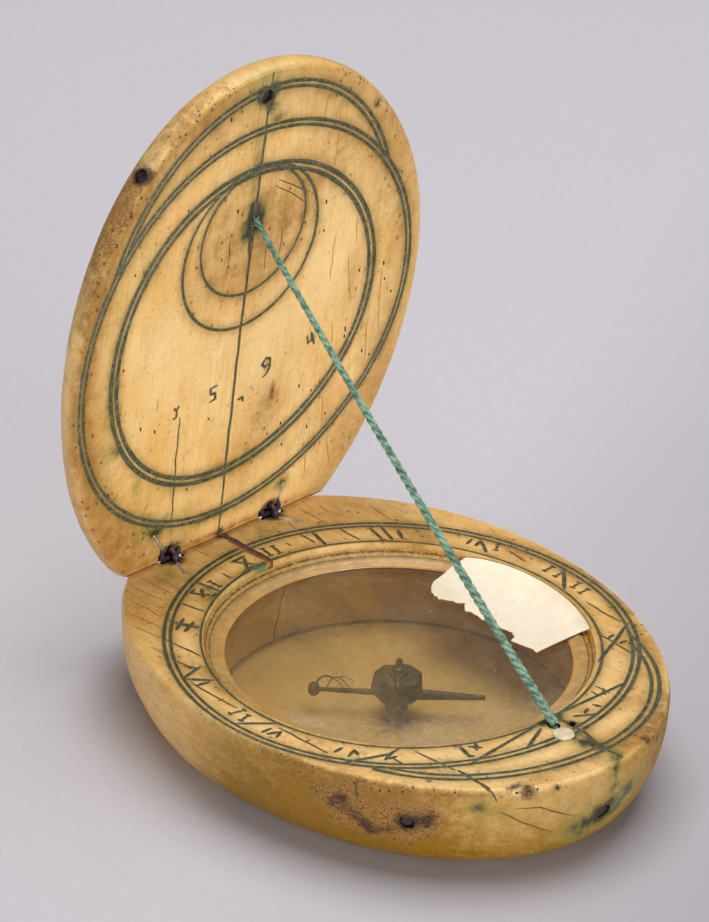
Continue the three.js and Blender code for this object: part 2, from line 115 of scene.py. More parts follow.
# The thread's route, the same points as in the part's source.
THREAD_POINTS = (
    (-0.05, -24.2, 12.55), (0.01, -21.06, 15.02), (0.08, -17.92, 17.51), (0.14, -14.77, 20.02),
    (0.21, -11.63, 22.56), (0.27, -8.49, 25.13), (0.34, -5.35, 27.71), (0.4, -2.2, 30.32),
    (0.47, 0.94, 32.95), (0.53, 4.08, 35.61), (0.59, 7.22, 38.28), (0.66, 10.37, 40.99),
    (0.72, 13.51, 43.71), (0.79, 16.65, 46.46), (0.85, 19.8, 49.24), (0.92, 22.94, 52.03),
    (0.98, 26.08, 54.85),
)

# Engraved rings: centre, radius, threefold unevenness, first and last angle, width.
BASE_RINGS = (
    (0, 0, 27, -0.18, -0.18, 0, 360, 0.5), (0, 0, 26.25, -0.18, -0.18, 0, 360, 0.44),
    (0, -0.12, 22.8, -0.125, -0.11, 0, 360, 0.36), (-0.21, -9.52, 22.09, -0.42, -0.33, 200, 342, 0.52),
    (-0.21, -9.52, 21.2, -0.42, -0.33, 203, 338, 0.48),
)
LID_RINGS = (
    (1.64, 28.79, 25.89, 0.365, -0.22, 0, 360, 0.5), (1.64, 28.79, 25.24, 0.365, -0.22, 0, 360, 0.46),
    (1.16, 37.42, 22.25, 0.03, -0.39, 18, 168, 0.5), (1.16, 37.42, 21.55, 0.03, -0.39, 20, 166, 0.46),
    (1.05, 29.13, 20.55, 0.31, -0.13, 0, 360, 0.64), (1.05, 29.13, 19.7, 0.31, -0.13, 0, 360, 0.6),
    (0.76, 39.36, 10.44, 0, 0, 0, 360, 0.42), (0.93, 41.4, 8.1, 0, 0, 0, 360, 0.38),
)

# Engraved strokes of the base, as x, y pairs on its top face.
BASE_BOLD = (
    (-26.2, -0.7, -22.6, -3.8), (-23.6, -14, -17.8, -16.4, -16.4, -16.2), (-12.9, -23.6, -1.5, -22.9),
    (-5.9, -25.6, -1.5, -23.6), (-24.3, 10, -21.7, 7.5), (-16.7, 20.5, -15, 16.9), (-8.4, 24.8, -7.8, 21.4),
    (9.9, 24.8, 9, 21), (17, 20, 15.9, 16.9), (23.6, 10, 21.9, 7.5), (26.3, -0.9, 22.6, -4.4),
    (22.5, -14.5, 18.5, -16.2, 13.7, -18.1), (12.7, -23.2, 2.5, -22.8), (2.9, -24.2, 5.6, -25.8),
    (-14.7, -23.5, -14.8, -29),
)
BASE_THIN = (
    (-19.9, 18, -19.3, 12.2), (-12.9, 22.3, -12.2, 18.8), (-22.4, 13.8, -21.6, 11), (-24.1, 9, -23.9, 1.5),
    (-23.3, -4.4, -22.9, -11.8), (-15.4, -17.8, -14.9, -23.5), (-18.3, -16.8, -18.2, -19),
    (8.5, 25, 8.3, 22.3), (12.9, 23, 12.8, 19.2), (24.2, 6, 24, 3), (22.4, -8, 22.1, -13.8),
    (18.3, -13.6, 17.8, -20), (8.4, -21.9, 8.3, -23), (9.6, -21.4, 9.7, -23.6), (-4.7, 24.3, -4.7, 22.8),
    (5.7, 24.6, 5.7, 23.6), (-24.4, 4, -23.6, 4), (-23.3, -8.5, -22.5, -8.5),
)
BASE_CRACKS = (
    (-20.6, 22.5, -20, 18), (-19.2, 25.4, -18.5, 20), (-17, 26.5, -16.8, 21.5), (-14.8, 28.6, -14.1, 24),
    (-12.6, 29.5, -12.4, 24.5), (-11.1, 28, -11, 25), (-8, 28, -7.7, 26), (-22.2, 17.5, -22.2, 13.8),
    (9.4, 28, 8.8, 25.5), (12.6, 29.5, 12.6, 24), (19.5, 24.6, 18.9, 20), (-3.3, 30, -3.2, 28),
    (14.9, 28.5, 14.8, 26.5),
)
BASE_NUMERALS = (
    (-2.3, 25.4, 0, 25.5), (-1.9, 25.3, -0.5, 23.4), (-0.4, 25.2, -1.8, 23.3), (-2.2, 23.2, -0.6, 23.1),
    (-10.6, 23.4, -9, 21.2), (-9, 23.3, -10.3, 21.6), (-10.8, 23.3, -9.6, 23.7), (-9.4, 21.1, -8.4, 21.4),
    (-17.6, 18.3, -15.1, 19.7), (-16.6, 19.7, -15.2, 17), (-17.1, 17.4, -14.7, 18.4),
    (-24.2, 10.1, -20.8, 10.7), (-24, 8, -22.3, 7.6), (-22.2, 12, -21.4, 10.7), (-25.4, -3.9, -23.9, -4),
    (-25.2, -4.5, -23.7, -5.2, -25, -5.8), (-22.3, -12.1, -20.8, -12),
    (-21.7, -13.8, -20.3, -13.2, -20.7, -14.3), (-19.2, -16.9, -17.3, -16.2), (-18.8, -17, -17.6, -17.2),
    (-11, -20.3, -11.6, -22.4, -11.2, -22.8), (-10.3, -20.9, -9.3, -22.1), (-9.2, -21, -10.2, -22.2),
    (17.9, 18.2, 16.8, 16.2), (21.6, 10.4, 23, 10.9), (22, 9.4, 23.4, 9.9), (18.2, -15.3, 19.5, -15.1),
    (18.4, -16.9, 19.6, -17), (9, -23.5, 9.9, -22.4), (4.3, -24.7, 5.4, -24.2), (6.4, -23.9, 6.9, -25),
)
BASE_BARS = (
    (2.7, 25.4, 2.4, 23.6), (4, 25.1, 3.6, 23.3), (-7.2, 23.9, -7, 22.3), (-25.3, 1.2, -23.6, 0.7),
    (-25.4, -0.6, -24, -0.4), (15.7, 20.6, 14.9, 17.6), (23.2, 7.2, 24.4, 7.9), (24, 0.1, 25.5, 0.1),
    (24, -1.6, 25.4, -1.6), (23.7, -4.7, 25.1, -4.5), (23.4, -6.1, 24.8, -6.2),
)

# Engraved strokes of the lid, as x and distance from the hinge.
LID_BOLD = (
    (1, 0.2, 0.75, 15, 0.7, 30, 0.85, 45, 1, 55, 1.2, 63),
)
LID_THIN = (
    (-7.2, 5, -7.4, 12, -7.7, 19.5),
)
LID_FAINT = (
    (-0.3, 49, -0.4, 56, -0.3, 63.5),
)
LID_SCRATCHES = (
    (3.6, 46.6, 6, 44.9, 8.8, 42.6), (4, 47.3, 9, 44), (6.2, 47.4, 7.4, 46.2, 8.3, 45, 9.5, 42.3),
    (-2.6, 41.6, -2.7, 37), (3.4, 39.6, 3.5, 35.6), (5.6, 40.4, 5.5, 37.2),
)
LID_NUMERALS = (
    (-2, 21.8, -3.1, 21.7, -3, 20.9, -2.3, 20.8, -2.2, 20, -3.1, 19.8),
    (6.2, 21.9, 5.5, 21.5, 5, 22.1, 5.5, 22.8, 6.2, 22.5, 6.3, 21.4, 5.9, 20.6, 5.3, 20.2),
    (-8.8, 21.1, -8.3, 20.6, -7.9, 21.2), (-8.3, 20.6, -8.2, 19.7, -8.8, 19.6),
    (1.5, 18.5, 2.3, 18.6, 2.5, 17.9), (12, 23.6, 12.3, 22.4, 13.2, 22.9), (12.6, 23.9, 13.4, 21.9),
)
LID_CRACKS = (
    (17.3, 33, 18.6, 25.8), (14.6, 36.5, 14.7, 30), (16, 24, 16.4, 21), (22, 22, 22.6, 16),
    (23.3, 29, 24.2, 20), (15.9, 13.7, 16.4, 9.5), (12.8, 54, 13.2, 46), (10.5, 56.5, 10.3, 53),
    (17.6, 7.6, 18.6, 3), (14.3, 6, 14.6, 3.6), (18, 38, 18.3, 34), (-11.4, 23.4, -11.4, 21.6),
    (18.5, 54.2, 18.4, 52), (-15.9, 53.4, -15.9, 52),
)
# Pricked dots of the lid: x, distance from the hinge, radius.
LID_DOTS = (
    (-13.8, 20.1, 0.34), (-11.5, 18.9, 0.3), (18.4, 22.2, 0.4), (18.4, 21.2, 0.26), (23.6, 29.5, 0.36),
    (19.5, 29.9, 0.28), (12.4, 41.5, 0.3), (21.8, 18, 0.3), (24.1, 27.2, 0.22), (-17.5, 29.3, 0.24),
    (-2, 45, 0.26), (-4.7, 57.6, 0.34), (25.5, 25, 0.22), (11.7, 16.7, 0.26), (13.9, 15.3, 0.2),
    (-5.2, 8.6, 0.24), (9.9, 9.2, 0.22), (-9.9, 47.6, 0.2), (-17.2, 41.7, 0.2), (12.6, 37.6, 0.2),
    (23.2, 17, 0.22), (-2.9, 17.5, 0.2), (9.3, 12.4, 0.26), (-24.9, 23.5, 0.26), (-24.6, 20, 0.3),
    (13.9, 10.2, 0.3), (16.8, 11, 0.2), (-17.9, 12.7, 0.3),
)

# Stains: x, y (or distance from the hinge), half lengths along both, strength.
LID_GREEN = (
    (0.85, 43.4, 1.3, 2.2, 0.9), (-0.6, 41.2, 0.8, 1.6, 0.4), (0, 46.5, 0.6, 2.5, 0.35),
    (0.2, 61.6, 3.5, 0.7, 0.4), (0.9, 43.1, 1.5, 1.9, 1), (0.3, 41.9, 1.3, 1.2, 0.6),
    (0.6, 59, 1.5, 1.5, 0.95), (1.8, 57.4, 1.2, 1, 0.7), (2.9, 55.7, 1.3, 0.7, 0.6),
    (-17.4, 18.2, 1.1, 0.8, 0.55), (-10, 4.4, 1.7, 1.1, 0.8), (0.5, 9.4, 9, 1, 0.4),
    (-13.5, 12, 0.9, 1.4, 0.4), (-6, 1.2, 3, 1.2, 0.45), (-18.7, 27, 0.9, 9, 0.35),
    (-9.5, 5.6, 5, 0.9, 0.4), (0.3, 51.5, 0.9, 3.2, 0.5), (1, 60, 4, 0.6, 0.45), (2, 3.2, 9, 0.8, 0.4),
    (21.6, 29, 0.8, 8, 0.3), (-14.5, 41.5, 2, 2.4, 0.25), (10.7, 3.6, 1, 0.8, 0.6),
)
LID_BROWN = (
    (5.5, 42, 4, 5, 0.55), (-3, 41, 4, 6, 0.4), (1, 41.5, 7, 7, 0.35), (6.4, 15.2, 2.4, 3.2, 0.45),
    (3.6, 9.5, 2.2, 3.6, 0.3), (24.5, 16, 2.5, 8, 0.35), (-22.5, 22, 2, 8, 0.4), (-12, 2.5, 5, 2.4, 0.5),
    (12, 57, 5, 2.5, 0.35), (21, 50, 2, 5, 0.3), (-18, 51, 4, 5, 0.5), (-22.5, 42, 2, 7, 0.5),
    (-9, 59, 6, 2, 0.45), (-23.5, 30, 1.4, 12, 0.45), (-21, 14, 3, 7, 0.55), (-16, 5, 5, 4.5, 0.65),
    (7.3, 16.5, 0.9, 1.6, 0.45), (18.5, 28.5, 1, 4, 0.35), (0, 36, 9, 3, 0.2), (20, 8, 5, 5, 0.2),
    (5.3, 14.6, 1.4, 0.7, 0.35), (14, 49, 5, 6, 0.35), (22, 44, 3, 6, 0.35), (0, 0.2, 16, 0.5, 0.9),
    (25.5, 36, 2, 9, 0.3), (-5, 57, 6, 3, 0.25), (16.5, 11, 4, 3, 0.15),
)
LID_DARK = (
    (0.9, 43, 1, 1.4, 0.7), (0.6, 40.2, 0.45, 1.8, 0.6), (5.8, 21.8, 0.9, 1.1, 0.5),
    (7.2, 17.8, 0.5, 1.6, 0.6), (-6.9, 0.7, 1.5, 1.1, 1), (9.2, 0.7, 1.4, 1, 1), (1.1, 0.2, 0.8, 0.7, 0.8),
    (0.6, 58.8, 0.9, 1, 0.8), (0.85, 42.9, 0.8, 0.9, 0.8), (0.7, 39.4, 0.5, 1, 0.5),
    (18.9, 52.5, 0.8, 1, 0.6), (-5.4, 62, 0.9, 0.5, 0.6), (12.9, 23, 0.7, 0.8, 0.5),
    (-9.8, 4.2, 0.6, 0.5, 0.5), (11, 3.6, 0.6, 0.5, 0.5), (-2, 45, 0.4, 0.4, 0.5),
)
LID_PALE = (
    (-10, 28, 7, 9, 0.45), (13.5, 33, 4.5, 8, 0.55), (4.5, 23, 3.5, 6, 0.55), (-2, 62.8, 8, 1.2, 0.5),
    (4, 14, 4, 3, 0.3), (9, 27, 4, 4, 0.35), (0, 57.5, 10, 1.5, 0.15), (17, 41, 2.5, 5, 0.25),
    (0, 5.5, 9, 2, 0.2),
)
BASE_GREEN = (
    (-0.4, 22.6, 1.4, 0.5, 0.6), (0, -28.6, 1.3, 1.1, 0.9), (0.2, -27.2, 1.4, 0.8, 0.6),
    (1.7, -25, 0.9, 0.9, 0.7), (0.9, -23.4, 1.4, 0.9, 0.8), (0, 28.5, 9, 2, 0.25), (-10, 27.5, 2, 2, 0.35),
    (6, 28.5, 3, 2, 0.25), (-25.6, 1, 1.2, 4, 0.12), (0.6, -30.6, 1, 1.6, 0.6), (0.3, -33.2, 1.6, 1, 0.7),
    (0, -23, 3.5, 0.8, 0.4), (-21.6, 9, 1.6, 2, 0.25), (-2, 22.9, 6, 0.5, 0.4), (-9, 21.2, 3, 0.8, 0.35),
    (20.5, 19, 1.5, 3, 0.2),
)
BASE_BROWN = (
    (-19, 24, 4, 4, 0.3), (-13, 28, 4, 3, 0.45), (24.6, 4.5, 1.5, 3, 0.4), (19.5, 16.5, 2, 2, 0.45),
    (10.5, -26.5, 3, 1.2, 0.4), (24.5, -12, 2, 3, 0.4), (14, 25.5, 6, 2.5, 0.35), (27, -8, 1.5, 8, 0.4),
    (-9, -30.5, 6, 1.2, 0.3), (20, 21, 4, 4, 0.25), (26, 2, 1.6, 9, 0.35), (21, -19, 5, 4, 0.45),
    (6, 22.2, 6, 0.6, 0.3), (18, 14.5, 3, 3, 0.35), (0, 30.6, 16, 0.5, 0.8), (-21.8, 12, 2, 3, 0.3),
    (8, -31.5, 9, 2, 0.6), (5.5, -32.3, 5, 1.2, 0.7), (-9.2, 22, 2.2, 1.6, 0.45), (1.5, -27, 1, 4, 0.4),
    (-22.3, 6, 1, 5, 0.4), (-16, 18.4, 1.6, 1.6, 0.35), (4.9, -24.3, 1.2, 0.7, 0.5),
)
BASE_DARK = (
    (-6.9, 30.2, 1.4, 1.2, 1), (9.2, 30.2, 1.4, 1.2, 1), (1.3, 30.7, 0.9, 0.6, 0.9),
    (1.7, -25.2, 0.7, 0.6, 0.8), (1, -28.8, 0.5, 1.2, 0.5), (-8.2, 22.9, 0.9, 0.9, 0.5),
    (-16, 18.2, 0.9, 0.6, 0.4), (-12.5, -29.9, 1.6, 0.5, 0.7), (-9.8, 22.4, 0.6, 0.5, 0.35),
    (5.6, -32.5, 1, 0.5, 0.6), (-18.6, -23, 0.6, 0.5, 0.6), (18.8, -21, 0.6, 0.6, 0.4),
)
# The long narrow pale spot at x -27.2 runs along the worn top-left edge, painted in part as that edge's
# highlight.
BASE_PALE = (
    (-16, -20.5, 3, 3, 0.5), (15.5, -20.5, 3.5, 2.5, 0.5), (-25, -2.5, 1, 5, 0.3), (-20.5, 15, 2, 3, 0.4),
    (4, 29, 6, 1.2, 0.2), (12, 21, 4, 2, 0.3), (-8, -27.8, 6, 1.4, 0.5), (8, -27.8, 6, 1.3, 0.4),
    (24, -8, 1.5, 3, 0.3), (16, 25, 4, 3, 0.25), (-27.2, 6, 0.7, 12, 0.6), (-19, -25, 7, 2, 0.5),
)

# Marks on the base's side: degrees round the leaf, depth below the top, reach, strength.
SIDE_DARK = (
    (-148.5, 5, 1.3, 0.5), (-147.5, 2.2, 0.7, 0.5), (-150.5, 3.3, 0.9, 0.7), (-137.5, 4.9, 1.6, 0.85),
    (-133.5, 4.4, 1, 0.7), (-144.5, 7.3, 0.8, 0.6), (-152.5, 4.4, 1.1, 0.55), (-141.5, 6.6, 1, 0.55),
    (-92, 6.2, 1.6, 0.85), (-156, 3, 1.2, 0.3), (-146, 6.2, 1.2, 0.6), (-132, 3.4, 0.8, 0.4),
    (-113, 0.4, 1.2, 0.6), (-106, 0.6, 0.5, 0.7), (-76.5, 0.2, 0.9, 0.6), (-71.5, 1.4, 0.7, 0.6),
)
SIDE_VERDIGRIS = (
    (-92, 6.4, 1.6, 0.4), (-86, 5.4, 1.5, 0.35),
)
SIDE_GREEN = (
    (-90, 0.8, 1.2, 0.7), (-123.5, 2.3, 1.3, 0.6), (-89.5, 3, 0.9, 0.7), (-100, 7.6, 2.4, 0.4),
    (-117, 3.6, 1.5, 0.3), (-92, 6.4, 2.2, 0.85), (-87, 5.6, 1.9, 0.7), (-96.5, 7.2, 2, 0.6),
    (-82, 4.6, 1.8, 0.6),
)
SIDE_PALE = (
    (-97, 2.4, 2.2, 0.5), (-94, 3.6, 1.6, 0.5), (-105, 3.4, 2.4, 0.35), (-117, 6, 2.2, 0.3),
    (-139.5, 7.4, 1, 0.5),
)
SIDE_CRUST = (
    (-148.5, 5, 3.1, 0.95), (-137.5, 4.9, 3.1, 1), (-134, 4.5, 2.4, 0.8), (-152, 3.2, 2.4, 0.8),
    (-143, 5.6, 2.6, 0.7), (-113, 0.4, 1.4, 0.6), (-74, 0.6, 1.5, 0.6), (-91.5, 6.2, 1.6, 0.5),
    (-66, 1.5, 2.5, 0.7), (-70, 3.5, 2.5, 0.5), (-60, 1, 2.5, 0.6),
)
# Cracks by the degrees and depth of each corner, pits by degrees, depth and radius.
SIDE_CRACKS = (
    ((-122.5, 0), (-120.5, 0.3), (-120, 1), (-119.6, 1.5)),
    ((-121.5, 1.8), (-119, 2.8), (-116.5, 3.5), (-114, 4.4), (-111, 5.3), (-108.5, 6), (-106, 6.7),
     (-104, 7.2)),
    ((-116.5, 2.5), (-113.5, 2.6), (-110, 2.7), (-108, 3.2), (-106, 3.7), (-103.5, 4.4), (-101, 5)),
    ((-147.5, 0.3), (-147.8, 1.4), (-147.3, 2.6), (-147.6, 3.7)),
    ((-88, -0.2), (-88.8, 0.6), (-89.5, 1.2), (-89.3, 2.4), (-89.5, 3.6), (-89.2, 4.4)),
)
SIDE_PITS = (
    (-150.5, 3.3, 0.34), (-133.5, 3.7, 0.3), (-133.5, 5.1, 0.34), (-132.5, 3, 0.24), (-139, 3.8, 0.22),
    (-144.5, 7.3, 0.3), (-136.5, 8.3, 0.24), (-152.5, 4.6, 0.24), (-148, 4.9, 0.3), (-146.4, 5.8, 0.22),
    (-134.6, 5.9, 0.2), (-155.5, 3.4, 0.2), (-159, 1.6, 0.22), (-143, 1.2, 0.24), (-141.2, 1, 0.2),
    (-138.6, 0.9, 0.22), (-115.5, 0.5, 0.26), (-112.6, 0.5, 0.3), (-110.6, 0.4, 0.24), (-106, 0.7, 0.24),
    (-76.5, 0.4, 0.3), (-73.8, 0.5, 0.24),
)
LID_RIM_PITS = (
    (-136, 0.1, 0.36), (-137.7, 0.1, 0.3), (-140.5, 0.1, 0.38), (-142.6, 0.15, 0.32), (-147.5, 0.2, 0.4),
    (-149.5, 0.5, 0.3), (-152, 0.8, 0.4), (-154.4, 0.4, 0.3), (-156.2, 0.7, 0.34), (-158.6, 0.2, 0.34),
    (-161, 0.3, 0.3), (-163.5, 0.6, 0.24), (-129.6, 0.1, 0.26), (-126.4, 0.2, 0.3), (-122, 0.1, 0.26),
    (-118.4, 0.1, 0.34), (-114.2, 0.2, 0.3), (-112.6, 0.4, 0.3), (-109.4, 0.1, 0.36), (-107.8, 0.2, 0.3),
    (-104, 0.3, 0.24), (-168, 0.2, 0.22), (-145, 1.3, 0.3), (-150.8, 1.6, 0.3), (-139, 1.2, 0.26),
    (-57.5, 0.1, 0.4), (-56, 0.1, 0.34), (-62, 0.1, 0.26), (-66.5, 0.1, 0.24),
)

BASE_PLAN = {
    "half_width": 28.0, "front": 36.4, "back": 34.0, "shift": 0.0, "lean": 0.03,
    "front_bow": 0.0, "back_bow": 0.0, "thickness": 12.3, "edge": 1.2, "edge_inset": 0.4,
    "belly": 6.2, "power": 2.05, "chipped": (-165.0, -100.0, 0.1)}
LID_PLAN = {
    "half_width": 27.1, "front": 33.8, "back": 36.5, "shift": 2.35, "lean": 0.0,
    "front_bow": -1.7, "back_bow": -0.5, "thickness": 4.8, "edge": 1.5, "edge_inset": 0.55,
    "belly": 4.6, "power": 2.0, "chipped": (-172.0, -98.0, 0.22)}
BOW_SPAN = 30.0


class LeafSettings(bpy.types.PropertyGroup):
    segments: bpy.props.IntProperty(
        name="Steps around", description="Points in one turn of a leaf's outline", default=384, min=48)
    face_rings: bpy.props.IntProperty(
        name="Rings on a face", description="Rows of points from the middle of a leaf to its edge",
        default=62, min=8)
    side_rings: bpy.props.IntProperty(
        name="Rings on the side", description="Rows of points down a leaf's rounded side", default=30, min=6)
    unevenness: bpy.props.FloatProperty(
        name="Unevenness", description="How far the worn side departs from its smooth form", default=0.0001,
        min=0.0, precision=5, unit="LENGTH")
    groove_lift: bpy.props.FloatProperty(
        name="Groove lift",
        description="Share of its radius that a graver's round point stays above the face",
        default=0.3, min=0.0, max=0.9, subtype="FACTOR")


class ThreadSettings(bpy.types.PropertyGroup):
    plies: bpy.props.IntProperty(
        name="Plies", description="Strands twisted into the thread", default=3, min=2)
    turns: bpy.props.FloatProperty(
        name="Turns", description="Turns of the twist from end to end", default=-21.0)
    ply_radius: bpy.props.FloatProperty(
        name="Ply radius", description="Radius of one strand at the thread's lower end", default=0.00026,
        precision=5, unit="LENGTH")
    lay_radius: bpy.props.FloatProperty(
        name="Lay radius", description="How far a strand winds from the thread's middle", default=0.00031,
        precision=5, unit="LENGTH")


class FinishSettings(bpy.types.PropertyGroup):
    ivory: bpy.props.FloatVectorProperty(
        name="Ivory", description="Palest colour of the polished faces", default=(0.93, 0.65, 0.275, 1.0),
        size=4, min=0.0, max=1.0, subtype="COLOR")
    honey: bpy.props.FloatVectorProperty(
        name="Honey", description="Deeper colour of the polished faces", default=(0.83, 0.5, 0.16, 1.0),
        size=4, min=0.0, max=1.0, subtype="COLOR")
    ochre: bpy.props.FloatVectorProperty(
        name="Ochre", description="Old varnish and dirt on the sides", default=(0.31, 0.16, 0.006, 1.0),
        size=4, min=0.0, max=1.0, subtype="COLOR")
    pigment: bpy.props.FloatVectorProperty(
        name="Pigment", description="Colour rubbed into the engraving", default=(0.048, 0.056, 0.03, 1.0),
        size=4, min=0.0, max=1.0, subtype="COLOR")
    thread: bpy.props.FloatVectorProperty(
        name="Thread", description="Shaded colour of the thread", default=(0.06, 0.165, 0.112, 1.0),
        size=4, min=0.0, max=1.0, subtype="COLOR")


class StageSettings(bpy.types.PropertyGroup):
    key_power: bpy.props.FloatProperty(
        name="Key light", description="Light from above and behind", default=3.55, min=0.0, unit="POWER")
    front_power: bpy.props.FloatProperty(
        name="Front light", description="Low light from the front", default=21.0, min=0.0, unit="POWER")
    left_power: bpy.props.FloatProperty(
        name="Left light", description="Low light from the left", default=5.6, min=0.0, unit="POWER")
    sky_strength: bpy.props.FloatProperty(
        name="Sky", description="Even light from all round", default=0.1, min=0.0)


# Meshes and booleans


def mesh_object(name, points, faces, material):
    mesh = bpy.data.meshes.new(name)
    mesh.from_pydata([tuple(float(c) for c in p) for p in points], [], faces)
    mesh.validate()
    made = bpy.data.objects.new(name, mesh)
    bpy.context.scene.collection.objects.link(made)
    mesh.materials.append(material)
    return made


def turned(profile, segments, centre=(0.0, 0.0)):
    """Points and faces of a body of revolution about Z, from radius and height pairs, bottom up."""
    points = []
    rows = []
    closed = profile[0] == profile[-1]
    for radius, height in profile[:-1] if closed else profile:
        count = 1 if radius < 1e-6 else segments
        rows.append(range(len(points), len(points) + count))
        for step in range(count):
            angle = 2 * math.pi * step / segments
            across = radius * math.cos(angle)
            points.append((centre[0] + across, centre[1] + radius * math.sin(angle), height))
    if closed:
        rows.append(rows[0])
    faces = []
    for low, high in zip(rows, rows[1:]):
        for step in range(segments):
            after = (step + 1) % segments
            corners = ((low, step), (low, after), (high, after), (high, step))
            face = list(dict.fromkeys(row[turn % len(row)] for row, turn in corners))
            if len(face) > 2:
                faces.append(face)
    return points, faces


def block(low, high):
    points = [(x, y, z) for z in (low[2], high[2]) for y in (low[1], high[1]) for x in (low[0], high[0])]
    faces = [(0, 2, 3, 1), (4, 5, 7, 6), (0, 1, 5, 4), (2, 6, 7, 3), (0, 4, 6, 2), (1, 3, 7, 5)]
    return points, faces


def remove(thing):
    data = thing.data
    bpy.data.objects.remove(thing)
    if data.users == 0:
        bpy.data.meshes.remove(data)


def take_shape(thing):
    """Replaces a mesh with what its modifiers make of it."""
    bpy.context.view_layer.update()
    graph = bpy.context.evaluated_depsgraph_get()
    mesh = bpy.data.meshes.new_from_object(thing.evaluated_get(graph))
    thing.modifiers.clear()
    old = thing.data
    thing.data = mesh
    bpy.data.meshes.remove(old)


def carve(body, cutter):
    """Cuts one closed mesh from another; the cut faces take the cutter's material."""
    modifier = body.modifiers.new("carve", "BOOLEAN")
    modifier.operation = "DIFFERENCE"
    modifier.solver = "MANIFOLD"
    modifier.material_mode = "TRANSFER"
    modifier.object = cutter
    take_shape(body)
    remove(cutter)


def vertex_places(thing):
    places = np.empty(len(thing.data.vertices) * 3)
    thing.data.vertices.foreach_get("co", places)
    return places.reshape(-1, 3)


def open_lid(points):
    """Turns points of the closed lid open about the hinge."""
    spots = np.array(points, dtype=float)
    y = spots[:, 1] - HINGE_Y
    z = spots[:, 2] - AXIS_Z
    spots[:, 1] = HINGE_Y + y * math.cos(LID_OPEN) + z * math.sin(LID_OPEN)
    spots[:, 2] = AXIS_Z - y * math.sin(LID_OPEN) + z * math.cos(LID_OPEN)
    return spots


def finish_mesh(thing, opened=False, sharp=35.0):
    """Opens the lid's pieces, scales to metres, and shades smooth with sharp creases."""
    mesh = thing.data
    spots = vertex_places(thing)
    if opened:
        spots = open_lid(spots)
    mesh.vertices.foreach_set("co", (spots * MM).ravel())
    mesh.polygons.foreach_set("use_smooth", [True] * len(mesh.polygons))
    mesh.set_sharp_from_angle(angle=math.radians(sharp))
    mesh.update()


def attach(piece, body, node):
    """Names the body a piece rides on and hides the node it stands for."""
    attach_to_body(piece, body)
    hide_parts(node)


def finishes(scene):
    """The materials by their short names."""
    return {key: bpy.data.materials[name] for key, name in scene["sundial_look"].items()}


# Geometry node trees


def new_tree(name, sockets):
    tree = bpy.data.node_groups.new(name, "GeometryNodeTree")
    tree.interface.new_socket("Geometry", in_out="INPUT", socket_type="NodeSocketGeometry")
    for label, kind in sockets:
        tree.interface.new_socket(label, in_out="INPUT", socket_type=kind)
    tree.interface.new_socket("Geometry", in_out="OUTPUT", socket_type="NodeSocketGeometry")
    return tree, tree.nodes.new("NodeGroupInput"), tree.nodes.new("NodeGroupOutput")


def feed(tree, node, inputs):
    """Links each socket that is given and sets each plain value."""
    for key, value in inputs.items():
        if isinstance(value, bpy.types.NodeSocket):
            tree.links.new(value, node.inputs[key])
        else:
            node.inputs[key].default_value = value


def add_node(tree, kind, inputs=None, **settings):
    made = tree.nodes.new(kind)
    for key, value in settings.items():
        setattr(made, key, value)
    feed(tree, made, inputs or {})
    return made


def end_in_tubes(tree, start, end, curves, sides, radius):
    """Ends a tree with a round section along the curves, as wide as the point attribute says."""
    width = add_node(tree, "GeometryNodeInputNamedAttribute", {"Name": "reach"}, data_type="FLOAT")
    section = add_node(tree, "GeometryNodeCurvePrimitiveCircle", {"Resolution": sides, "Radius": radius})
    walls = add_node(tree, "GeometryNodeCurveToMesh", {
        "Curve": curves, "Profile Curve": section.outputs["Curve"],
        "Scale": width.outputs["Attribute"], "Fill Caps": True})
    whole = add_node(tree, "GeometryNodeRealizeInstances", {"Geometry": walls.outputs["Mesh"]})
    dressed = add_node(tree, "GeometryNodeSetMaterial", {
        "Geometry": whole.outputs["Geometry"], "Material": start.outputs["Material"]})
    tree.links.new(dressed.outputs["Geometry"], end.inputs["Geometry"])


def sweep_tree():
    """Round section drawn along every chain of edges."""
    tree, start, end = new_tree("sweep_along_path", [
        ("Sides", "NodeSocketInt"), ("Material", "NodeSocketMaterial")])
    curve = add_node(tree, "GeometryNodeMeshToCurve", {"Mesh": start.outputs["Geometry"]})
    end_in_tubes(tree, start, end, curve.outputs["Curve"], start.outputs["Sides"], 1.0)


def math_node(tree, operation, first, second=0.0):
    return add_node(tree, "ShaderNodeMath", {0: first, 1: second}, operation=operation).outputs[0]


def times(tree, first, second):
    return math_node(tree, "MULTIPLY", first, second)


def vector_node(tree, operation, first, second):
    key = "Scale" if operation == "SCALE" else 1
    made = add_node(tree, "ShaderNodeVectorMath", {0: first, key: second}, operation=operation)
    return made.outputs["Vector"]


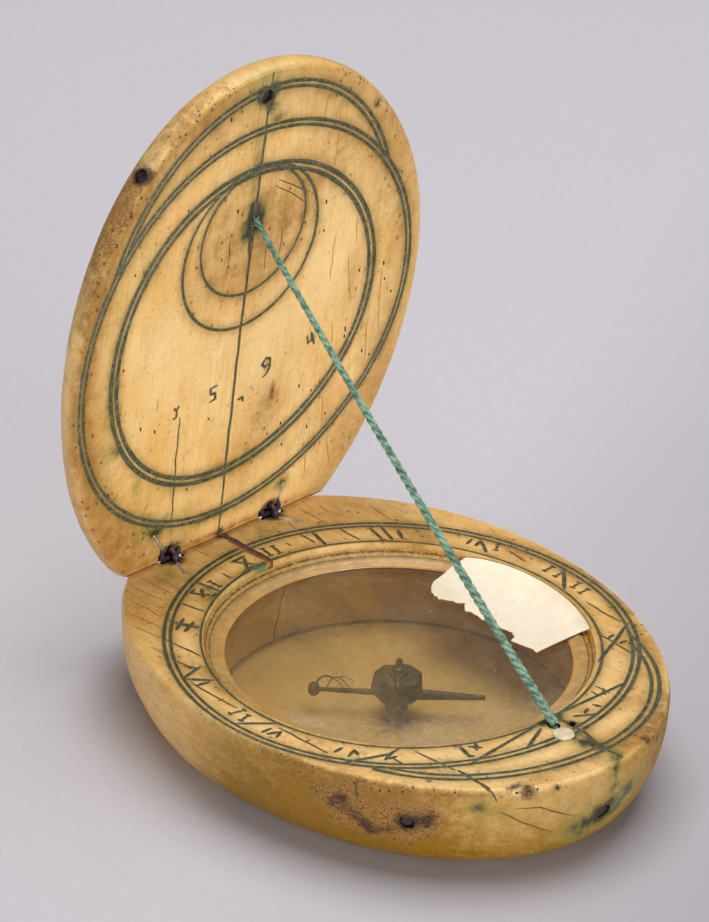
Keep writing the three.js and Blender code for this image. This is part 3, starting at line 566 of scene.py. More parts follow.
def twist_tree():
    """Plies that wind round a path, thicker or thinner as the point attribute says."""
    tree, start, end = new_tree("twisted_plies", [
        ("Plies", "NodeSocketInt"), ("Turns", "NodeSocketFloat"), ("Ply Radius", "NodeSocketFloat"),
        ("Lay Radius", "NodeSocketFloat"), ("Steps", "NodeSocketInt"), ("Material", "NodeSocketMaterial")])
    curve = add_node(tree, "GeometryNodeMeshToCurve", {"Mesh": start.outputs["Geometry"]})
    even = add_node(tree, "GeometryNodeResampleCurve", {
        "Curve": curve.outputs["Curve"], "Count": start.outputs["Steps"]})
    copies = add_node(tree, "GeometryNodeDuplicateElements", {
        "Geometry": even.outputs["Curve"], "Amount": start.outputs["Plies"]}, domain="SPLINE")
    along = add_node(tree, "GeometryNodeSplineParameter").outputs["Factor"]
    width = add_node(tree, "GeometryNodeInputNamedAttribute", {"Name": "reach"}, data_type="FLOAT")
    share = math_node(tree, "DIVIDE", copies.outputs["Duplicate Index"], start.outputs["Plies"])
    turns = math_node(tree, "ADD", times(tree, along, start.outputs["Turns"]), share)
    angle = times(tree, turns, 2 * math.pi)
    normal = add_node(tree, "GeometryNodeInputNormal").outputs["Normal"]
    tangent = add_node(tree, "GeometryNodeInputTangent").outputs["Tangent"]
    across = vector_node(tree, "CROSS_PRODUCT", tangent, normal)
    side = vector_node(tree, "SCALE", normal, math_node(tree, "COSINE", angle))
    up = vector_node(tree, "SCALE", across, math_node(tree, "SINE", angle))
    lay = times(tree, start.outputs["Lay Radius"], width.outputs["Attribute"])
    offset = vector_node(tree, "SCALE", vector_node(tree, "ADD", side, up), lay)
    wound = add_node(tree, "GeometryNodeSetPosition", {
        "Geometry": copies.outputs["Geometry"], "Offset": offset})
    curves = wound.outputs["Geometry"]
    end_in_tubes(tree, start, end, curves, PLY_SIDES, start.outputs["Ply Radius"])


def along_paths(name, paths, tree, values):
    """Runs a tree on chains of points, each with its own reach, and returns a plain mesh."""
    points = []
    edges = []
    reaches = []
    for path, reach, closed in paths:
        first = len(points)
        points.extend(tuple(float(c) for c in point) for point in path)
        widths = reach if isinstance(reach, (list, tuple)) else [reach] * len(path)
        reaches.extend(widths)
        edges.extend((first + i, first + i + 1) for i in range(len(path) - 1))
        if closed:
            edges.append((first + len(path) - 1, first))
    mesh = bpy.data.meshes.new(name)
    mesh.from_pydata(points, edges, [])
    mesh.attributes.new("reach", "FLOAT", "POINT").data.foreach_set("value", reaches)
    made = bpy.data.objects.new(name, mesh)
    bpy.context.scene.collection.objects.link(made)
    modifier = made.modifiers.new("nodes", "NODES")
    modifier.node_group = tree
    for socket in tree.interface.items_tree:
        if socket.in_out == "INPUT" and socket.name in values:
            modifier[socket.identifier] = values[socket.name]
    take_shape(made)
    return made


def tube(name, paths, material, sides):
    """Round tubes along chains of points, as one mesh."""
    sweep = bpy.data.node_groups["sweep_along_path"]
    return along_paths(name, paths, sweep, {"Sides": sides, "Material": material})


# Materials


def srgb(red, green, blue):
    shares = [c / 255 for c in (red, green, blue)]
    return tuple(s / 12.92 if s <= 0.04045 else ((s + 0.055) / 1.055) ** 2.4 for s in shares) + (1.0,)


def new_material(name):
    material = bpy.data.materials.new(name)
    material.use_nodes = True
    return material, material.node_tree, material.node_tree.nodes["Principled BSDF"]


def mix(tree, factor, first, second):
    return add_node(tree, "ShaderNodeMix", {0: factor, 6: first, 7: second}, data_type="RGBA").outputs[2]


def noise_at(tree, spot, stretch, detail, roughness):
    scaled = vector_node(tree, "MULTIPLY", spot, stretch)
    return add_node(tree, "ShaderNodeTexNoise", {
        "Vector": scaled, "Scale": 1.0, "Detail": detail, "Roughness": roughness}).outputs["Fac"]


def ramp(tree, value, low, high, first=0.0, last=1.0):
    """Maps the range from low to high onto the range from first to last."""
    return add_node(tree, "ShaderNodeMapRange", {0: value, 1: low, 2: high, 3: first, 4: last}).outputs[0]


def bump(tree, shader, height, distance, strength=1.0):
    made = add_node(tree, "ShaderNodeBump", {"Height": height, "Distance": distance, "Strength": strength})
    tree.links.new(made.outputs["Normal"], shader.inputs["Normal"])


def plain_spot(tree):
    """Object coordinates in millimetres."""
    place = add_node(tree, "ShaderNodeTexCoord").outputs["Object"]
    return vector_node(tree, "SCALE", place, 1 / MM)


def length_of(tree, vector):
    return add_node(tree, "ShaderNodeVectorMath", {0: vector}, operation="LENGTH").outputs["Value"]


def specks(tree, spot, stretch, size, presence):
    """Small scattered dots, only where the presence value lets them."""
    scaled = vector_node(tree, "MULTIPLY", spot, stretch)
    cells = add_node(tree, "ShaderNodeTexVoronoi", {"Vector": scaled, "Scale": 1.0})
    dot = ramp(tree, cells.outputs["Distance"], size, size * 0.4)
    return times(tree, dot, presence)


def attribute(tree, name):
    return add_node(tree, "ShaderNodeAttribute", attribute_name=name)


def jitter(tree, value, pattern, spread):
    """A value pushed up and down by a noise pattern."""
    sway = math_node(tree, "SUBTRACT", pattern, 0.5)
    made = add_node(tree, "ShaderNodeMath", {0: sway, 1: spread, 2: value}, operation="MULTIPLY_ADD")
    return made.outputs[0]


def ragged(tree, mask, pattern, spread, low, high):
    """A painted mask with its border broken up by a noise pattern."""
    return ramp(tree, jitter(tree, mask, pattern, spread), low, high)


def ivory_material(name, bleed):
    """Worn ivory; with bleed, the tinted margin of an engraved line."""
    finish = bpy.context.scene.sundial_finish
    material, tree, shader = new_material(name)
    spot = attribute(tree, "leaf").outputs["Vector"]
    stain = attribute(tree, "stain")
    parts = add_node(tree, "ShaderNodeSeparateColor", {0: stain.outputs["Color"]})
    wear = add_node(tree, "ShaderNodeSeparateXYZ", {0: attribute(tree, "wear").outputs["Vector"]})
    cloud = noise_at(tree, spot, (0.13, 0.07, 0.13), 5.0, 0.6)
    grain = noise_at(tree, spot, (2.6, 0.14, 1.3), 5.0, 0.6)
    fleck = noise_at(tree, spot, (4.6, 1.2, 3.6), 4.0, 0.65)
    mottle = noise_at(tree, spot, (0.6, 0.45, 0.6), 7.0, 0.7)
    fine = noise_at(tree, spot, (2.3, 1.6, 2.3), 6.0, 0.7)
    sand = noise_at(tree, spot, (9.0, 6.0, 9.0), 3.0, 0.6)
    colour = mix(tree, ramp(tree, cloud, 0.34, 0.62), tuple(finish.ivory), tuple(finish.honey))
    colour = mix(tree, ramp(tree, grain, 0.46, 0.72, 0.0, 0.4), colour, srgb(202, 146, 72))
    colour = mix(tree, ramp(tree, mottle, 0.5, 0.7, 0.0, 0.45), colour, srgb(204, 146, 70))
    colour = mix(tree, ramp(tree, fine, 0.5, 0.72, 0.0, 0.4), colour, srgb(206, 152, 82))
    colour = mix(tree, times(tree, stain.outputs["Alpha"], 0.85), colour, srgb(252, 222, 160))
    varnish = mix(tree, ramp(tree, fine, 0.4, 0.64), tuple(finish.ochre), srgb(132, 92, 14))
    soaked = times(tree, wear.outputs["X"], ramp(tree, mottle, 0.3, 0.6, 0.8, 1.1))
    colour = mix(tree, soaked, colour, varnish)
    grit = times(tree, wear.outputs["X"], ramp(tree, sand, 0.5, 0.68, 0.0, 0.7))
    colour = mix(tree, grit, colour, srgb(92, 62, 12))
    brown = times(tree, parts.outputs["Green"], ramp(tree, mottle, 0.32, 0.6, 0.5, 1.5))
    colour = mix(tree, ramp(tree, brown, 0.0, 1.0, 0.0, 0.92), colour, srgb(160, 108, 44))
    crumbs = mix(tree, ramp(tree, sand, 0.4, 0.6), srgb(78, 50, 22), srgb(188, 138, 68))
    crust = ragged(tree, wear.outputs["Y"], mottle, 1.4, 0.3, 0.7)
    colour = mix(tree, times(tree, crust, 0.9), colour, crumbs)
    flecks = ramp(tree, fleck, 0.62, 0.76, 0.0, 0.6)
    colour = mix(tree, flecks, colour, srgb(156, 100, 44))
    green = times(tree, parts.outputs["Red"], ramp(tree, mottle, 0.32, 0.62, 0.5, 1.25))
    olive = mix(tree, ramp(tree, green, 0.35, 0.8), srgb(142, 130, 58), srgb(50, 58, 40))
    colour = mix(tree, ramp(tree, green, 0.0, 0.7), colour, olive)
    bloom = ragged(tree, wear.outputs["Z"], mottle, 0.8, 0.2, 0.8)
    colour = mix(tree, times(tree, bloom, 0.85), colour, srgb(98, 130, 96))
    dark = ragged(tree, parts.outputs["Blue"], fine, 0.9, 0.25, 0.6)
    colour = mix(tree, times(tree, dark, 0.92), colour, srgb(62, 44, 32))
    presence = ramp(tree, math_node(tree, "ADD", mottle, parts.outputs["Green"]), 0.45, 0.9)
    dots = specks(tree, spot, (0.95, 0.62, 0.95), 0.2, presence)
    colour = mix(tree, times(tree, dots, 0.9), colour, srgb(84, 56, 30))
    crumb = specks(tree, spot, (1.5, 1.0, 1.5), 0.17, ramp(tree, cloud, 0.34, 0.58))
    colour = mix(tree, times(tree, crumb, 0.7), colour, srgb(112, 74, 36))
    colour = mix(tree, ramp(tree, sand, 0.56, 0.74, 0.0, 0.34), colour, srgb(128, 84, 36))
    if bleed:
        colour = mix(tree, ramp(tree, fine, 0.3, 0.7, 0.15, 0.5), colour, srgb(120, 110, 68))
    dull = times(tree, math_node(tree, "ADD", dark, crust), 0.25)
    worn = math_node(tree, "ADD", ramp(tree, grain, 0.3, 0.7, 0.3, 0.46), dull)
    feed(tree, shader, {
        "Base Color": colour, "Roughness": worn, "Specular IOR Level": 0.34, "Subsurface Weight": 0.1,
        "Subsurface Radius": (1.0, 0.55, 0.25), "Subsurface Scale": 0.0012})
    pitted = math_node(tree, "ADD", dots, times(tree, dark, 0.8))
    height = math_node(tree, "SUBTRACT", times(tree, grain, 0.5), pitted)
    height = math_node(tree, "SUBTRACT", height, times(tree, flecks, 0.8))
    rough = times(tree, math_node(tree, "ADD", crust, 0.15), fine)
    height = math_node(tree, "ADD", height, times(tree, rough, 3.0))
    bump(tree, shader, height, 0.00006, 0.9)
    return material


def filled_material(name, deep, worn, share, flake=None):
    """Colour rubbed into a cut, thinner in places and flaked out in a few."""
    material, tree, shader = new_material(name)
    spot = attribute(tree, "leaf").outputs["Vector"]
    patches = noise_at(tree, spot, (1.3, 1.3, 1.3), 5.0, 0.7)
    colour = mix(tree, ramp(tree, patches, 0.42, 0.68, 0.0, share), deep, worn)
    if flake is not None:
        lost = noise_at(tree, spot, (3.4, 3.4, 3.4), 3.0, 0.6)
        colour = mix(tree, ramp(tree, lost, 0.54, 0.66, 0.0, 0.75), colour, flake)
    feed(tree, shader, {"Base Color": colour, "Roughness": ramp(tree, patches, 0.3, 0.7, 0.5, 0.8)})
    bump(tree, shader, patches, 0.00004)
    return material


def channel_material():
    """The noon channel: brown on its left, purple with corrosion on its right."""
    material, tree, shader = new_material("noon_channel")
    spot = attribute(tree, "leaf").outputs["Vector"]
    patches = noise_at(tree, spot, (1.1, 0.7, 1.1), 5.0, 0.7)
    across = add_node(tree, "ShaderNodeSeparateXYZ", {0: spot}).outputs["X"]
    side = jitter(tree, across, patches, 1.2)
    colour = mix(tree, ramp(tree, side, 1.3, 1.75), srgb(170, 124, 60), srgb(92, 62, 72))
    feed(tree, shader, {"Base Color": colour, "Roughness": ramp(tree, patches, 0.3, 0.7, 0.45, 0.75)})
    bump(tree, shader, patches, 0.00006)
    return material


def wire_material():
    """Hinge wire: black with corrosion at the joint, bare grey metal along the legs."""
    material, tree, shader = new_material("hinge_wire")
    spot = plain_spot(tree)
    patches = noise_at(tree, spot, (1.3, 1.3, 1.3), 5.0, 0.65)
    from_axis = vector_node(tree, "SUBTRACT", spot, (0, HINGE_Y, AXIS_Z))
    bare = jitter(tree, length_of(tree, vector_node(tree, "MULTIPLY", from_axis, (0, 1, 1))), patches, 1.4)
    black = mix(tree, ramp(tree, patches, 0.4, 0.6), srgb(58, 38, 46), srgb(34, 22, 30))
    grey = mix(tree, ramp(tree, patches, 0.4, 0.6), srgb(196, 188, 176), srgb(136, 122, 110))
    feed(tree, shader, {
        "Base Color": mix(tree, ramp(tree, bare, 1.2, 1.7), black, grey),
        "Roughness": ramp(tree, patches, 0.3, 0.7, 0.45, 0.7), "Metallic": 0.15})
    bump(tree, shader, patches, 0.00008)
    return material


def mottled_material(name, first, second, stretch, rough, metallic=0.0, depth=0.00004, third=None):
    material, tree, shader = new_material(name)
    spot = plain_spot(tree)
    patches = noise_at(tree, spot, stretch, 6.0, 0.65)
    colour = mix(tree, ramp(tree, patches, 0.38, 0.62), first, second)
    if third is not None:
        marks = noise_at(tree, spot, tuple(2.7 * s for s in stretch), 3.0, 0.6)
        colour = mix(tree, ramp(tree, marks, 0.58, 0.7, 0.0, 0.8), colour, third)
    feed(tree, shader, {
        "Base Color": colour, "Roughness": ramp(tree, patches, 0.3, 0.7, *rough), "Metallic": metallic})
    bump(tree, shader, patches, depth)
    return material


def horn_material():
    """The ring round the pane: amber against the wall, paler towards the glass, with two painted shade lines.
    """
    material, tree, shader = new_material("pale_horn")
    spot = plain_spot(tree)
    parts = add_node(tree, "ShaderNodeSeparateXYZ", {0: spot})
    flat = add_node(tree, "ShaderNodeCombineXYZ", {0: parts.outputs["X"], 1: parts.outputs["Y"]})
    reach = length_of(tree, flat.outputs[0])
    patches = noise_at(tree, spot, (0.6, 0.6, 0.6), 6.0, 0.7)
    fine = noise_at(tree, spot, (2.4, 2.4, 2.4), 5.0, 0.7)
    pale = mix(tree, ramp(tree, patches, 0.4, 0.64), srgb(194, 162, 106), srgb(166, 130, 74))
    amber = mix(tree, ramp(tree, fine, 0.4, 0.6), srgb(196, 146, 62), srgb(138, 98, 36))
    inner = mix(tree, ramp(tree, patches, 0.4, 0.6), srgb(206, 160, 92), srgb(186, 144, 82))
    colour = mix(tree, ramp(tree, reach, 20.35, 20.6), inner, pale)
    outer = times(tree, ramp(tree, reach, 21.5, 21.75),
                      ramp(tree, parts.outputs["Y"], 8.0, 20.0, 1.0, 0.45))
    colour = mix(tree, outer, colour, amber)
    # Painted shade: two thin dark lines on the ring, one in the dip of its top and one on its slope up to the
    # wall.
    for middle in (21.56, 22.0):
        away = math_node(tree, "ABSOLUTE", math_node(tree, "SUBTRACT", reach, middle))
        line = times(tree, ramp(tree, away, 0.12, 0.03), ramp(tree, fine, 0.36, 0.5))
        colour = mix(tree, line, colour, srgb(92, 72, 34))
    feed(tree, shader, {"Base Color": colour, "Roughness": ramp(tree, fine, 0.35, 0.7, 0.08, 0.3)})
    bump(tree, shader, fine, 0.00006)
    return material


def glass_material():
    """Old pane: thin clear glass under an uneven film of dust, thickened where stored spots of dust and
    painted glints lie.
    """
    material, tree, shader = new_material("old_glass")
    spot = plain_spot(tree)
    smear_and_glint = attribute(tree, "dust_and_glints").outputs["Fac"]
    haze = noise_at(tree, spot, (0.12, 0.12, 0.3), 5.0, 0.65)
    fine = noise_at(tree, spot, (1.1, 1.1, 1.1), 6.0, 0.75)
    tint = mix(tree, ramp(tree, haze, 0.4, 0.7), srgb(252, 251, 243), srgb(246, 243, 230))
    clear = add_node(tree, "ShaderNodeBsdfTransparent", {"Color": tint})
    gloss = add_node(tree, "ShaderNodeBsdfGlossy", {"Roughness": ramp(tree, haze, 0.4, 0.75, 0.02, 0.1)})
    facing = add_node(tree, "ShaderNodeLayerWeight", {"Blend": 0.5}).outputs["Facing"]
    mirror = ramp(tree, math_node(tree, "POWER", facing, 5.0), 0.0, 1.0, 0.03, 1.0)
    pane = add_node(tree, "ShaderNodeMixShader", {
        0: mirror, 1: clear.outputs["BSDF"], 2: gloss.outputs["BSDF"]})
    tone = mix(tree, ramp(tree, fine, 0.35, 0.65), srgb(172, 154, 120), srgb(208, 198, 176))
    feed(tree, shader, {"Base Color": tone, "Roughness": 0.7})
    motes = specks(tree, spot, (0.7, 0.7, 0.7), 0.1, ramp(tree, haze, 0.4, 0.6, 0.0, 0.5))
    amount = math_node(tree, "ADD", ramp(tree, haze, 0.35, 0.7, 0.04, 0.14), motes)
    # Stored spots, partly dust and partly painted glints, thicken the film.
    smeared_and_glinted = times(tree, smear_and_glint, ramp(tree, fine, 0.35, 0.6, 0.15, 1.0))
    both = add_node(tree, "ShaderNodeMixShader", {
        0: math_node(tree, "ADD", amount, smeared_and_glinted), 1: pane.outputs["Shader"], 2: shader.outputs["BSDF"]})
    tree.links.new(both.outputs["Shader"], tree.nodes["Material Output"].inputs["Surface"])
    return material


def thread_material():
    finish = bpy.context.scene.sundial_finish
    material, tree, shader = new_material("twisted_silk")
    spot = plain_spot(tree)
    fibre = noise_at(tree, spot, (9.0, 5.0, 5.0), 4.0, 0.65)
    patches = noise_at(tree, spot, (1.2, 1.2, 1.2), 4.0, 0.65)
    colour = mix(tree, ramp(tree, fibre, 0.38, 0.62), tuple(finish.thread), srgb(112, 150, 126))
    # Painted highlight and shade: the pale patches stand for lit strands and the dark ones for shaded creases
    # between them, both laid at random by noise.
    colour = mix(tree, ramp(tree, patches, 0.42, 0.62, 0.0, 0.7), colour, srgb(154, 184, 158))
    colour = mix(tree, ramp(tree, patches, 0.5, 0.34, 0.0, 0.6), colour, srgb(50, 84, 70))
    feed(tree, shader, {
        "Base Color": colour, "Roughness": 0.66, "Sheen Weight": 0.12, "Sheen Roughness": 0.4})
    bump(tree, shader, fibre, 0.00008)
    return material


def make_materials():
    finish = bpy.context.scene.sundial_finish
    return {
        "ivory": ivory_material("worn_ivory", False),
        "bleed": ivory_material("inked_ivory", True),
        "pigment": filled_material(
            "engraving_fill", tuple(finish.pigment), srgb(116, 108, 76), 0.8, srgb(146, 138, 106)),
        "crack": filled_material("grain_crack", srgb(176, 120, 54), srgb(206, 154, 84), 0.8),
        "split": filled_material("split_fill", srgb(78, 64, 32), srgb(120, 102, 50), 0.8),
        "grime": filled_material("old_grime", srgb(42, 28, 30), srgb(92, 66, 44), 0.7),
        # The bowl corner fill is painted shade in the corner, and it also fills the seam in the wall.
        "corner": filled_material("bowl_corner", srgb(150, 124, 80), srgb(184, 148, 94), 0.9),
        "channel": channel_material(),
        "glass": glass_material(),
        "thread": thread_material(),
        "paper": mottled_material(
            "label_paper", srgb(244, 235, 215), srgb(237, 226, 203), (0.4, 0.4, 0.4), (0.8, 0.95),
            third=srgb(232, 218, 188)),
        "horn": horn_material(),
        "bone": mottled_material(
            "white_bone", srgb(228, 218, 190), srgb(204, 188, 150), (1.1, 1.1, 1.1), (0.35, 0.6)),
        "iron": mottled_material(
            "dull_iron", srgb(100, 86, 66), srgb(64, 54, 42), (1.4, 1.4, 1.4), (0.4, 0.65), 0.2,
            third=srgb(128, 98, 62)),
        "brass": mottled_material(
            "tarnished_brass", srgb(132, 106, 58), srgb(84, 66, 40), (1.6, 1.6, 1.6), (0.35, 0.6), 0.6),
        "crusted": mottled_material(
            "corroded_copper", srgb(66, 46, 48), srgb(34, 24, 26), (1.8, 1.8, 1.8), (0.55, 0.85), 0.1, 0.0001,
            third=srgb(108, 84, 70)),
        "wire": wire_material(),
    }


# Leaves


def plan_point(plan, angle, inset):
    reach = plan["front"] if math.sin(angle) < 0 else plan["back"]
    bow = plan["front_bow"] if math.sin(angle) < 0 else plan["back_bow"]
    y = math.sin(angle) * (reach - inset)
    x = math.cos(angle) * (plan["half_width"] - inset) + plan["lean"] * y + bow * (y / BOW_SPAN) ** 2
    return LEAF_CENTRE[0] + plan["shift"] + x, LEAF_CENTRE[1] + y


def side_inset(plan, depth):
    """How far the side stands in from the outline: a crisp worn edge, then a rounded belly."""
    if depth < plan["edge"]:
        return plan["edge_inset"] * (1 - max(0.0, depth) / plan["edge"]) ** 2
    share = min(1.0, (depth - plan["edge"]) / (plan["thickness"] - plan["edge"]))
    return plan["belly"] * (1 - (1 - share ** plan["power"]) ** (1 / plan["power"]))


def side_point(plan, degrees, depth, height):
    x, y = plan_point(plan, math.radians(degrees), side_inset(plan, depth))
    return x, y, height(depth)


def edge_place(plan, x, y):
    """Degrees round the leaf, from -270 to 90, and the gap to the outline, for many points."""
    up = y - LEAF_CENTRE[1]
    reach = np.where(up < 0, plan["front"], plan["back"])
    bow = np.where(up < 0, plan["front_bow"], plan["back_bow"]) * (up / BOW_SPAN) ** 2
    across = (x - LEAF_CENTRE[0] - plan["shift"] - plan["lean"] * up - bow) / plan["half_width"]
    angle = np.arctan2(up / reach, across)
    size = np.hypot(plan["half_width"] * np.cos(angle), reach * np.sin(angle))
    degrees = np.degrees(angle)
    return np.where(degrees > 90, degrees - 360, degrees), (1 - np.hypot(across, up / reach)) * size


def leaf_body(name, plan, height, material):
    """One closed oval leaf; height turns a depth below the inner face into Z."""
    settings = bpy.context.scene.sundial_leaf
    count = settings.segments
    edge = plan["edge"]
    thickness = plan["thickness"]
    depths = [edge * i / EDGE_RINGS for i in range(EDGE_RINGS + 1)]
    for i in range(1, settings.side_rings + 1):
        share = math.sin(i * math.pi / 2 / settings.side_rings) ** (2 / plan["power"])
        depths.append(edge + (thickness - edge) * share)
    centre = (LEAF_CENTRE[0] + plan["shift"], LEAF_CENTRE[1])
    rings = [(plan["edge_inset"], 0.0, k / settings.face_rings) for k in range(1, settings.face_rings)]
    rings += [(side_inset(plan, depth), depth, 1.0) for depth in depths]
    rings += [(plan["belly"], thickness, k / BACK_RINGS) for k in range(BACK_RINGS - 1, 0, -1)]
    first, last, chip = plan["chipped"]
    points = [(*centre, height(0))]
    for inset, depth, share in rings:
        for i in range(count):
            degrees = 90 - 360 * i / count
            angle = math.radians(degrees)
            x, y = plan_point(plan, angle, inset)
            x = centre[0] + (x - centre[0]) * share
            y = centre[1] + (y - centre[1]) * share
            push = 0.0
            if 0.0 < depth < thickness:
                dent = noise.noise((x * 0.16, y * 0.16, depth * 0.3)) - 0.35
                push = settings.unevenness / MM * min(1.0, depth / edge) * dent
            if share == 1.0 and depth < edge and first < degrees < last:
                worn = min(1.0, (degrees - first) / 12, (last - degrees) / 12)
                ragged_edge = noise.noise((x * 1.3, y * 1.3, depth * 1.2)) - 0.25
                push += chip * worn * (1 - depth / edge) * ragged_edge
            points.append((x + math.cos(angle) * push, y + math.sin(angle) * push, height(depth)))
    points.append((*centre, height(thickness)))
    faces = []
    for i in range(count):
        after = (i + 1) % count
        faces.append((0, 1 + after, 1 + i))
        for ring in range(len(rings) - 1):
            low = 1 + ring * count
            faces.append((low + after, low + count + after, low + count + i, low + i))
        bottom = 1 + (len(rings) - 1) * count
        faces.append((bottom + after, len(points) - 1, bottom + i))
    if height(thickness) > height(0):
        faces = [tuple(reversed(face)) for face in faces]
    return mesh_object(name, points, faces, material)


def ring_path(ring):
    centre_x, centre_y, radius, even, odd, first, last, width = ring
    closed = last - first == 360
    count = max(24, int(abs(last - first) / 360 * 2 * math.pi * radius / 0.45))
    path = []
    reaches = []
    for i in range(count if closed else count + 1):
        angle = math.radians(first + (last - first) * i / count)
        reach = radius + even * math.cos(3 * angle) + odd * math.sin(3 * angle)
        x = centre_x + reach * math.cos(angle)
        y = centre_y + reach * math.sin(angle)
        path.append((x, y))
        reaches.append(width / 2 * (1 + 0.25 * noise.noise((x * 0.5, y * 0.5, 5.0))))
    return path, reaches, closed


def with_serifs(bars):
    """Each bar with a short stroke across both of its ends."""
    strokes = []
    for x1, y1, x2, y2 in bars:
        strokes.append((x1, y1, x2, y2))
        size = math.hypot(x2 - x1, y2 - y1)
        across = ((y2 - y1) / size * 0.42, (x1 - x2) / size * 0.42)
        for x, y in ((x1, y1), (x2, y2)):
            strokes.append((x - across[0], y - across[1], x + across[0], y + across[1]))
    return strokes


def stroke_path(stroke, width, wander):
    """A hand-cut stroke: thin at both ends and a little unsteady."""
    corners = [(stroke[i], stroke[i + 1]) for i in range(0, len(stroke), 2)]
    path = []
    for a, b in zip(corners, corners[1:]):
        steps = max(2, int(math.dist(a, b) / 0.5))
        for i in range(steps):
            path.append((a[0] + (b[0] - a[0]) * i / steps, a[1] + (b[1] - a[1]) * i / steps))
    path.append(corners[-1])
    reaches = []
    for i, (x, y) in enumerate(path):
        share = min(i, len(path) - 1 - i) / max(1, len(path) - 1)
        taper = min(1.0, 0.5 + 3.0 * share)
        reaches.append(width / 2 * taper * (1 + 0.3 * noise.noise((x * 1.3, y * 1.3, 3.0))))
    shaken = []
    for x, y in path:
        shaken.append((x + wander * noise.noise((x * 0.4, y * 0.4, 1.0)), y))
    return shaken, reaches, False


def batches(strokes, apart):
    """Sorts strokes into groups in which no two touch, so that each group cuts cleanly."""
    total = sum(len(path) for path, reach, closed in strokes)
    tree = KDTree(total)
    owner = []
    for number, (path, reach, closed) in enumerate(strokes):
        for x, y in path:
            tree.insert((x, y, 0.0), len(owner))
            owner.append(number)
    tree.balance()
    touching = [set() for stroke in strokes]
    for number, (path, reach, closed) in enumerate(strokes):
        for x, y in path:
            for spot, index, distance in tree.find_range((x, y, 0.0), apart):
                if owner[index] != number:
                    touching[number].add(owner[index])
    groups = []
    for number in range(len(strokes)):
        for group in groups:
            if not touching[number].intersection(group):
                group.append(number)
                break
        else:
            groups.append([number])
    return [[strokes[number] for number in group] for group in groups]


def engrave(leaf, strokes, face, outward, fill, bleed=None):
    """Cuts strokes into a flat face. A bleed first tints a wide, very shallow dish round each."""
    lift = bpy.context.scene.sundial_leaf.groove_lift
    cuts = [(1.0, 0.0, 1.0, 0.8, fill)]
    if bleed is not None:
        cuts.insert(0, (1.25, 0.06, 0.1, 1.1, bleed))
    for widen, margin, flatten, apart, material in cuts:
        for group in batches(strokes, apart):
            paths = []
            for path, reaches, closed in group:
                wide = [reach * widen + margin for reach in reaches]
                spots = [(x, y, face + outward * lift * reach) for (x, y), reach in zip(path, wide)]
                paths.append((spots, wide, closed))
            cutter = tube("engraving", paths, material, 10)
            if flatten < 1.0:
                spots = vertex_places(cutter)
                spots[:, 2] = face + (spots[:, 2] - face) * flatten
                cutter.data.vertices.foreach_set("co", spots.ravel())
            carve(leaf, cutter)


def carve_side(leaf, plan, height, cracks, pits, crack_fill, pit_fill):
    """Cracks and pits in a leaf's side, given by degrees and depth."""
    paths = []
    for crack in cracks:
        spots = []
        for (deg_a, depth_a), (deg_b, depth_b) in zip(crack, crack[1:]):
            for i in range(4):
                t = i / 4
                wander = 0.25 * noise.noise((deg_a + t, depth_a, 2.0))
                spots.append((deg_a + (deg_b - deg_a) * t + wander, depth_a + (depth_b - depth_a) * t))
        spots.append(crack[-1])
        ends = len(spots) - 1
        reach = [0.04 + 0.06 * min(1.0, 4 * min(i, ends - i) / ends) for i in range(len(spots))]
        paths.append(([side_point(plan, *spot, height) for spot in spots], reach, False))
    if paths:
        carve(leaf, tube("cracks", paths, crack_fill, 8))
    paths = []
    for degrees, depth, radius in pits:
        spots = []
        reach = []
        for i in range(5):
            shift = noise.noise((degrees * 3.1 + i * 0.7, depth * 5.3, 4.0))
            rise = noise.noise((degrees * 2.7, depth * 4.1 + i * 0.6, 8.0))
            along = degrees + radius * (0.7 * (i - 2) + shift)
            spots.append(side_point(plan, along, depth + radius * rise, height))
            reach.append(radius * (0.6 + 0.35 * noise.noise((degrees, depth, i * 1.3))))
        paths.append((spots, reach, False))
    carve(leaf, tube("pits", paths, pit_fill, 9))


def scattered_pits(seed, taken, areas):
    """More small pits inside areas of degrees and depth, none touching another."""
    chance = random.Random(seed)
    pits = list(taken)
    for count, low, high, shallow, deep, largest in areas:
        for i in range(count):
            degrees = chance.uniform(low, high)
            depth = chance.triangular(shallow, deep)
            radius = largest * chance.uniform(0.4, 1.0)
            gaps = [math.hypot((degrees - d) * 0.5, depth - h) - 1.9 * (radius + r) for d, h, r in pits]
            if min(gaps) > 0.05:
                pits.append((degrees, depth, radius))
    return pits


def hinge_ring(hinge, count=28):
    loop = []
    for i in range(count):
        angle = 2 * math.pi * i / count
        y = HINGE_Y + EYE_RADIUS * math.cos(angle)
        loop.append((hinge["x"], y, AXIS_Z + EYE_RADIUS * math.sin(angle)))
    return loop


def carve_hinge(leaf, hinge, legs, material):
    """Room for the wire eye, for the staple that turns in it, and for the wire's legs."""
    ends = [(hinge["x"] + side * AXIS_ROOM_HALF, HINGE_Y, AXIS_Z) for side in (-1, 1)]
    rooms = [(hinge_ring(hinge), EYE_ROOM, True), (ends, AXIS_ROOM, False)]
    rooms += [(rounded(leg), LEG_ROOM, False) for leg in legs]
    for room in rooms:
        carve(leaf, tube("hinge_room", [room], material, 12))


def spot_strength(x, y, spots):
    clear = np.ones(len(x))
    for centre_x, centre_y, reach_x, reach_y, strength in spots:
        away = ((x - centre_x) / reach_x) ** 2 + ((y - centre_y) / reach_y) ** 2
        clear *= 1 - strength * np.exp(-0.9 * away)
    return 1 - clear


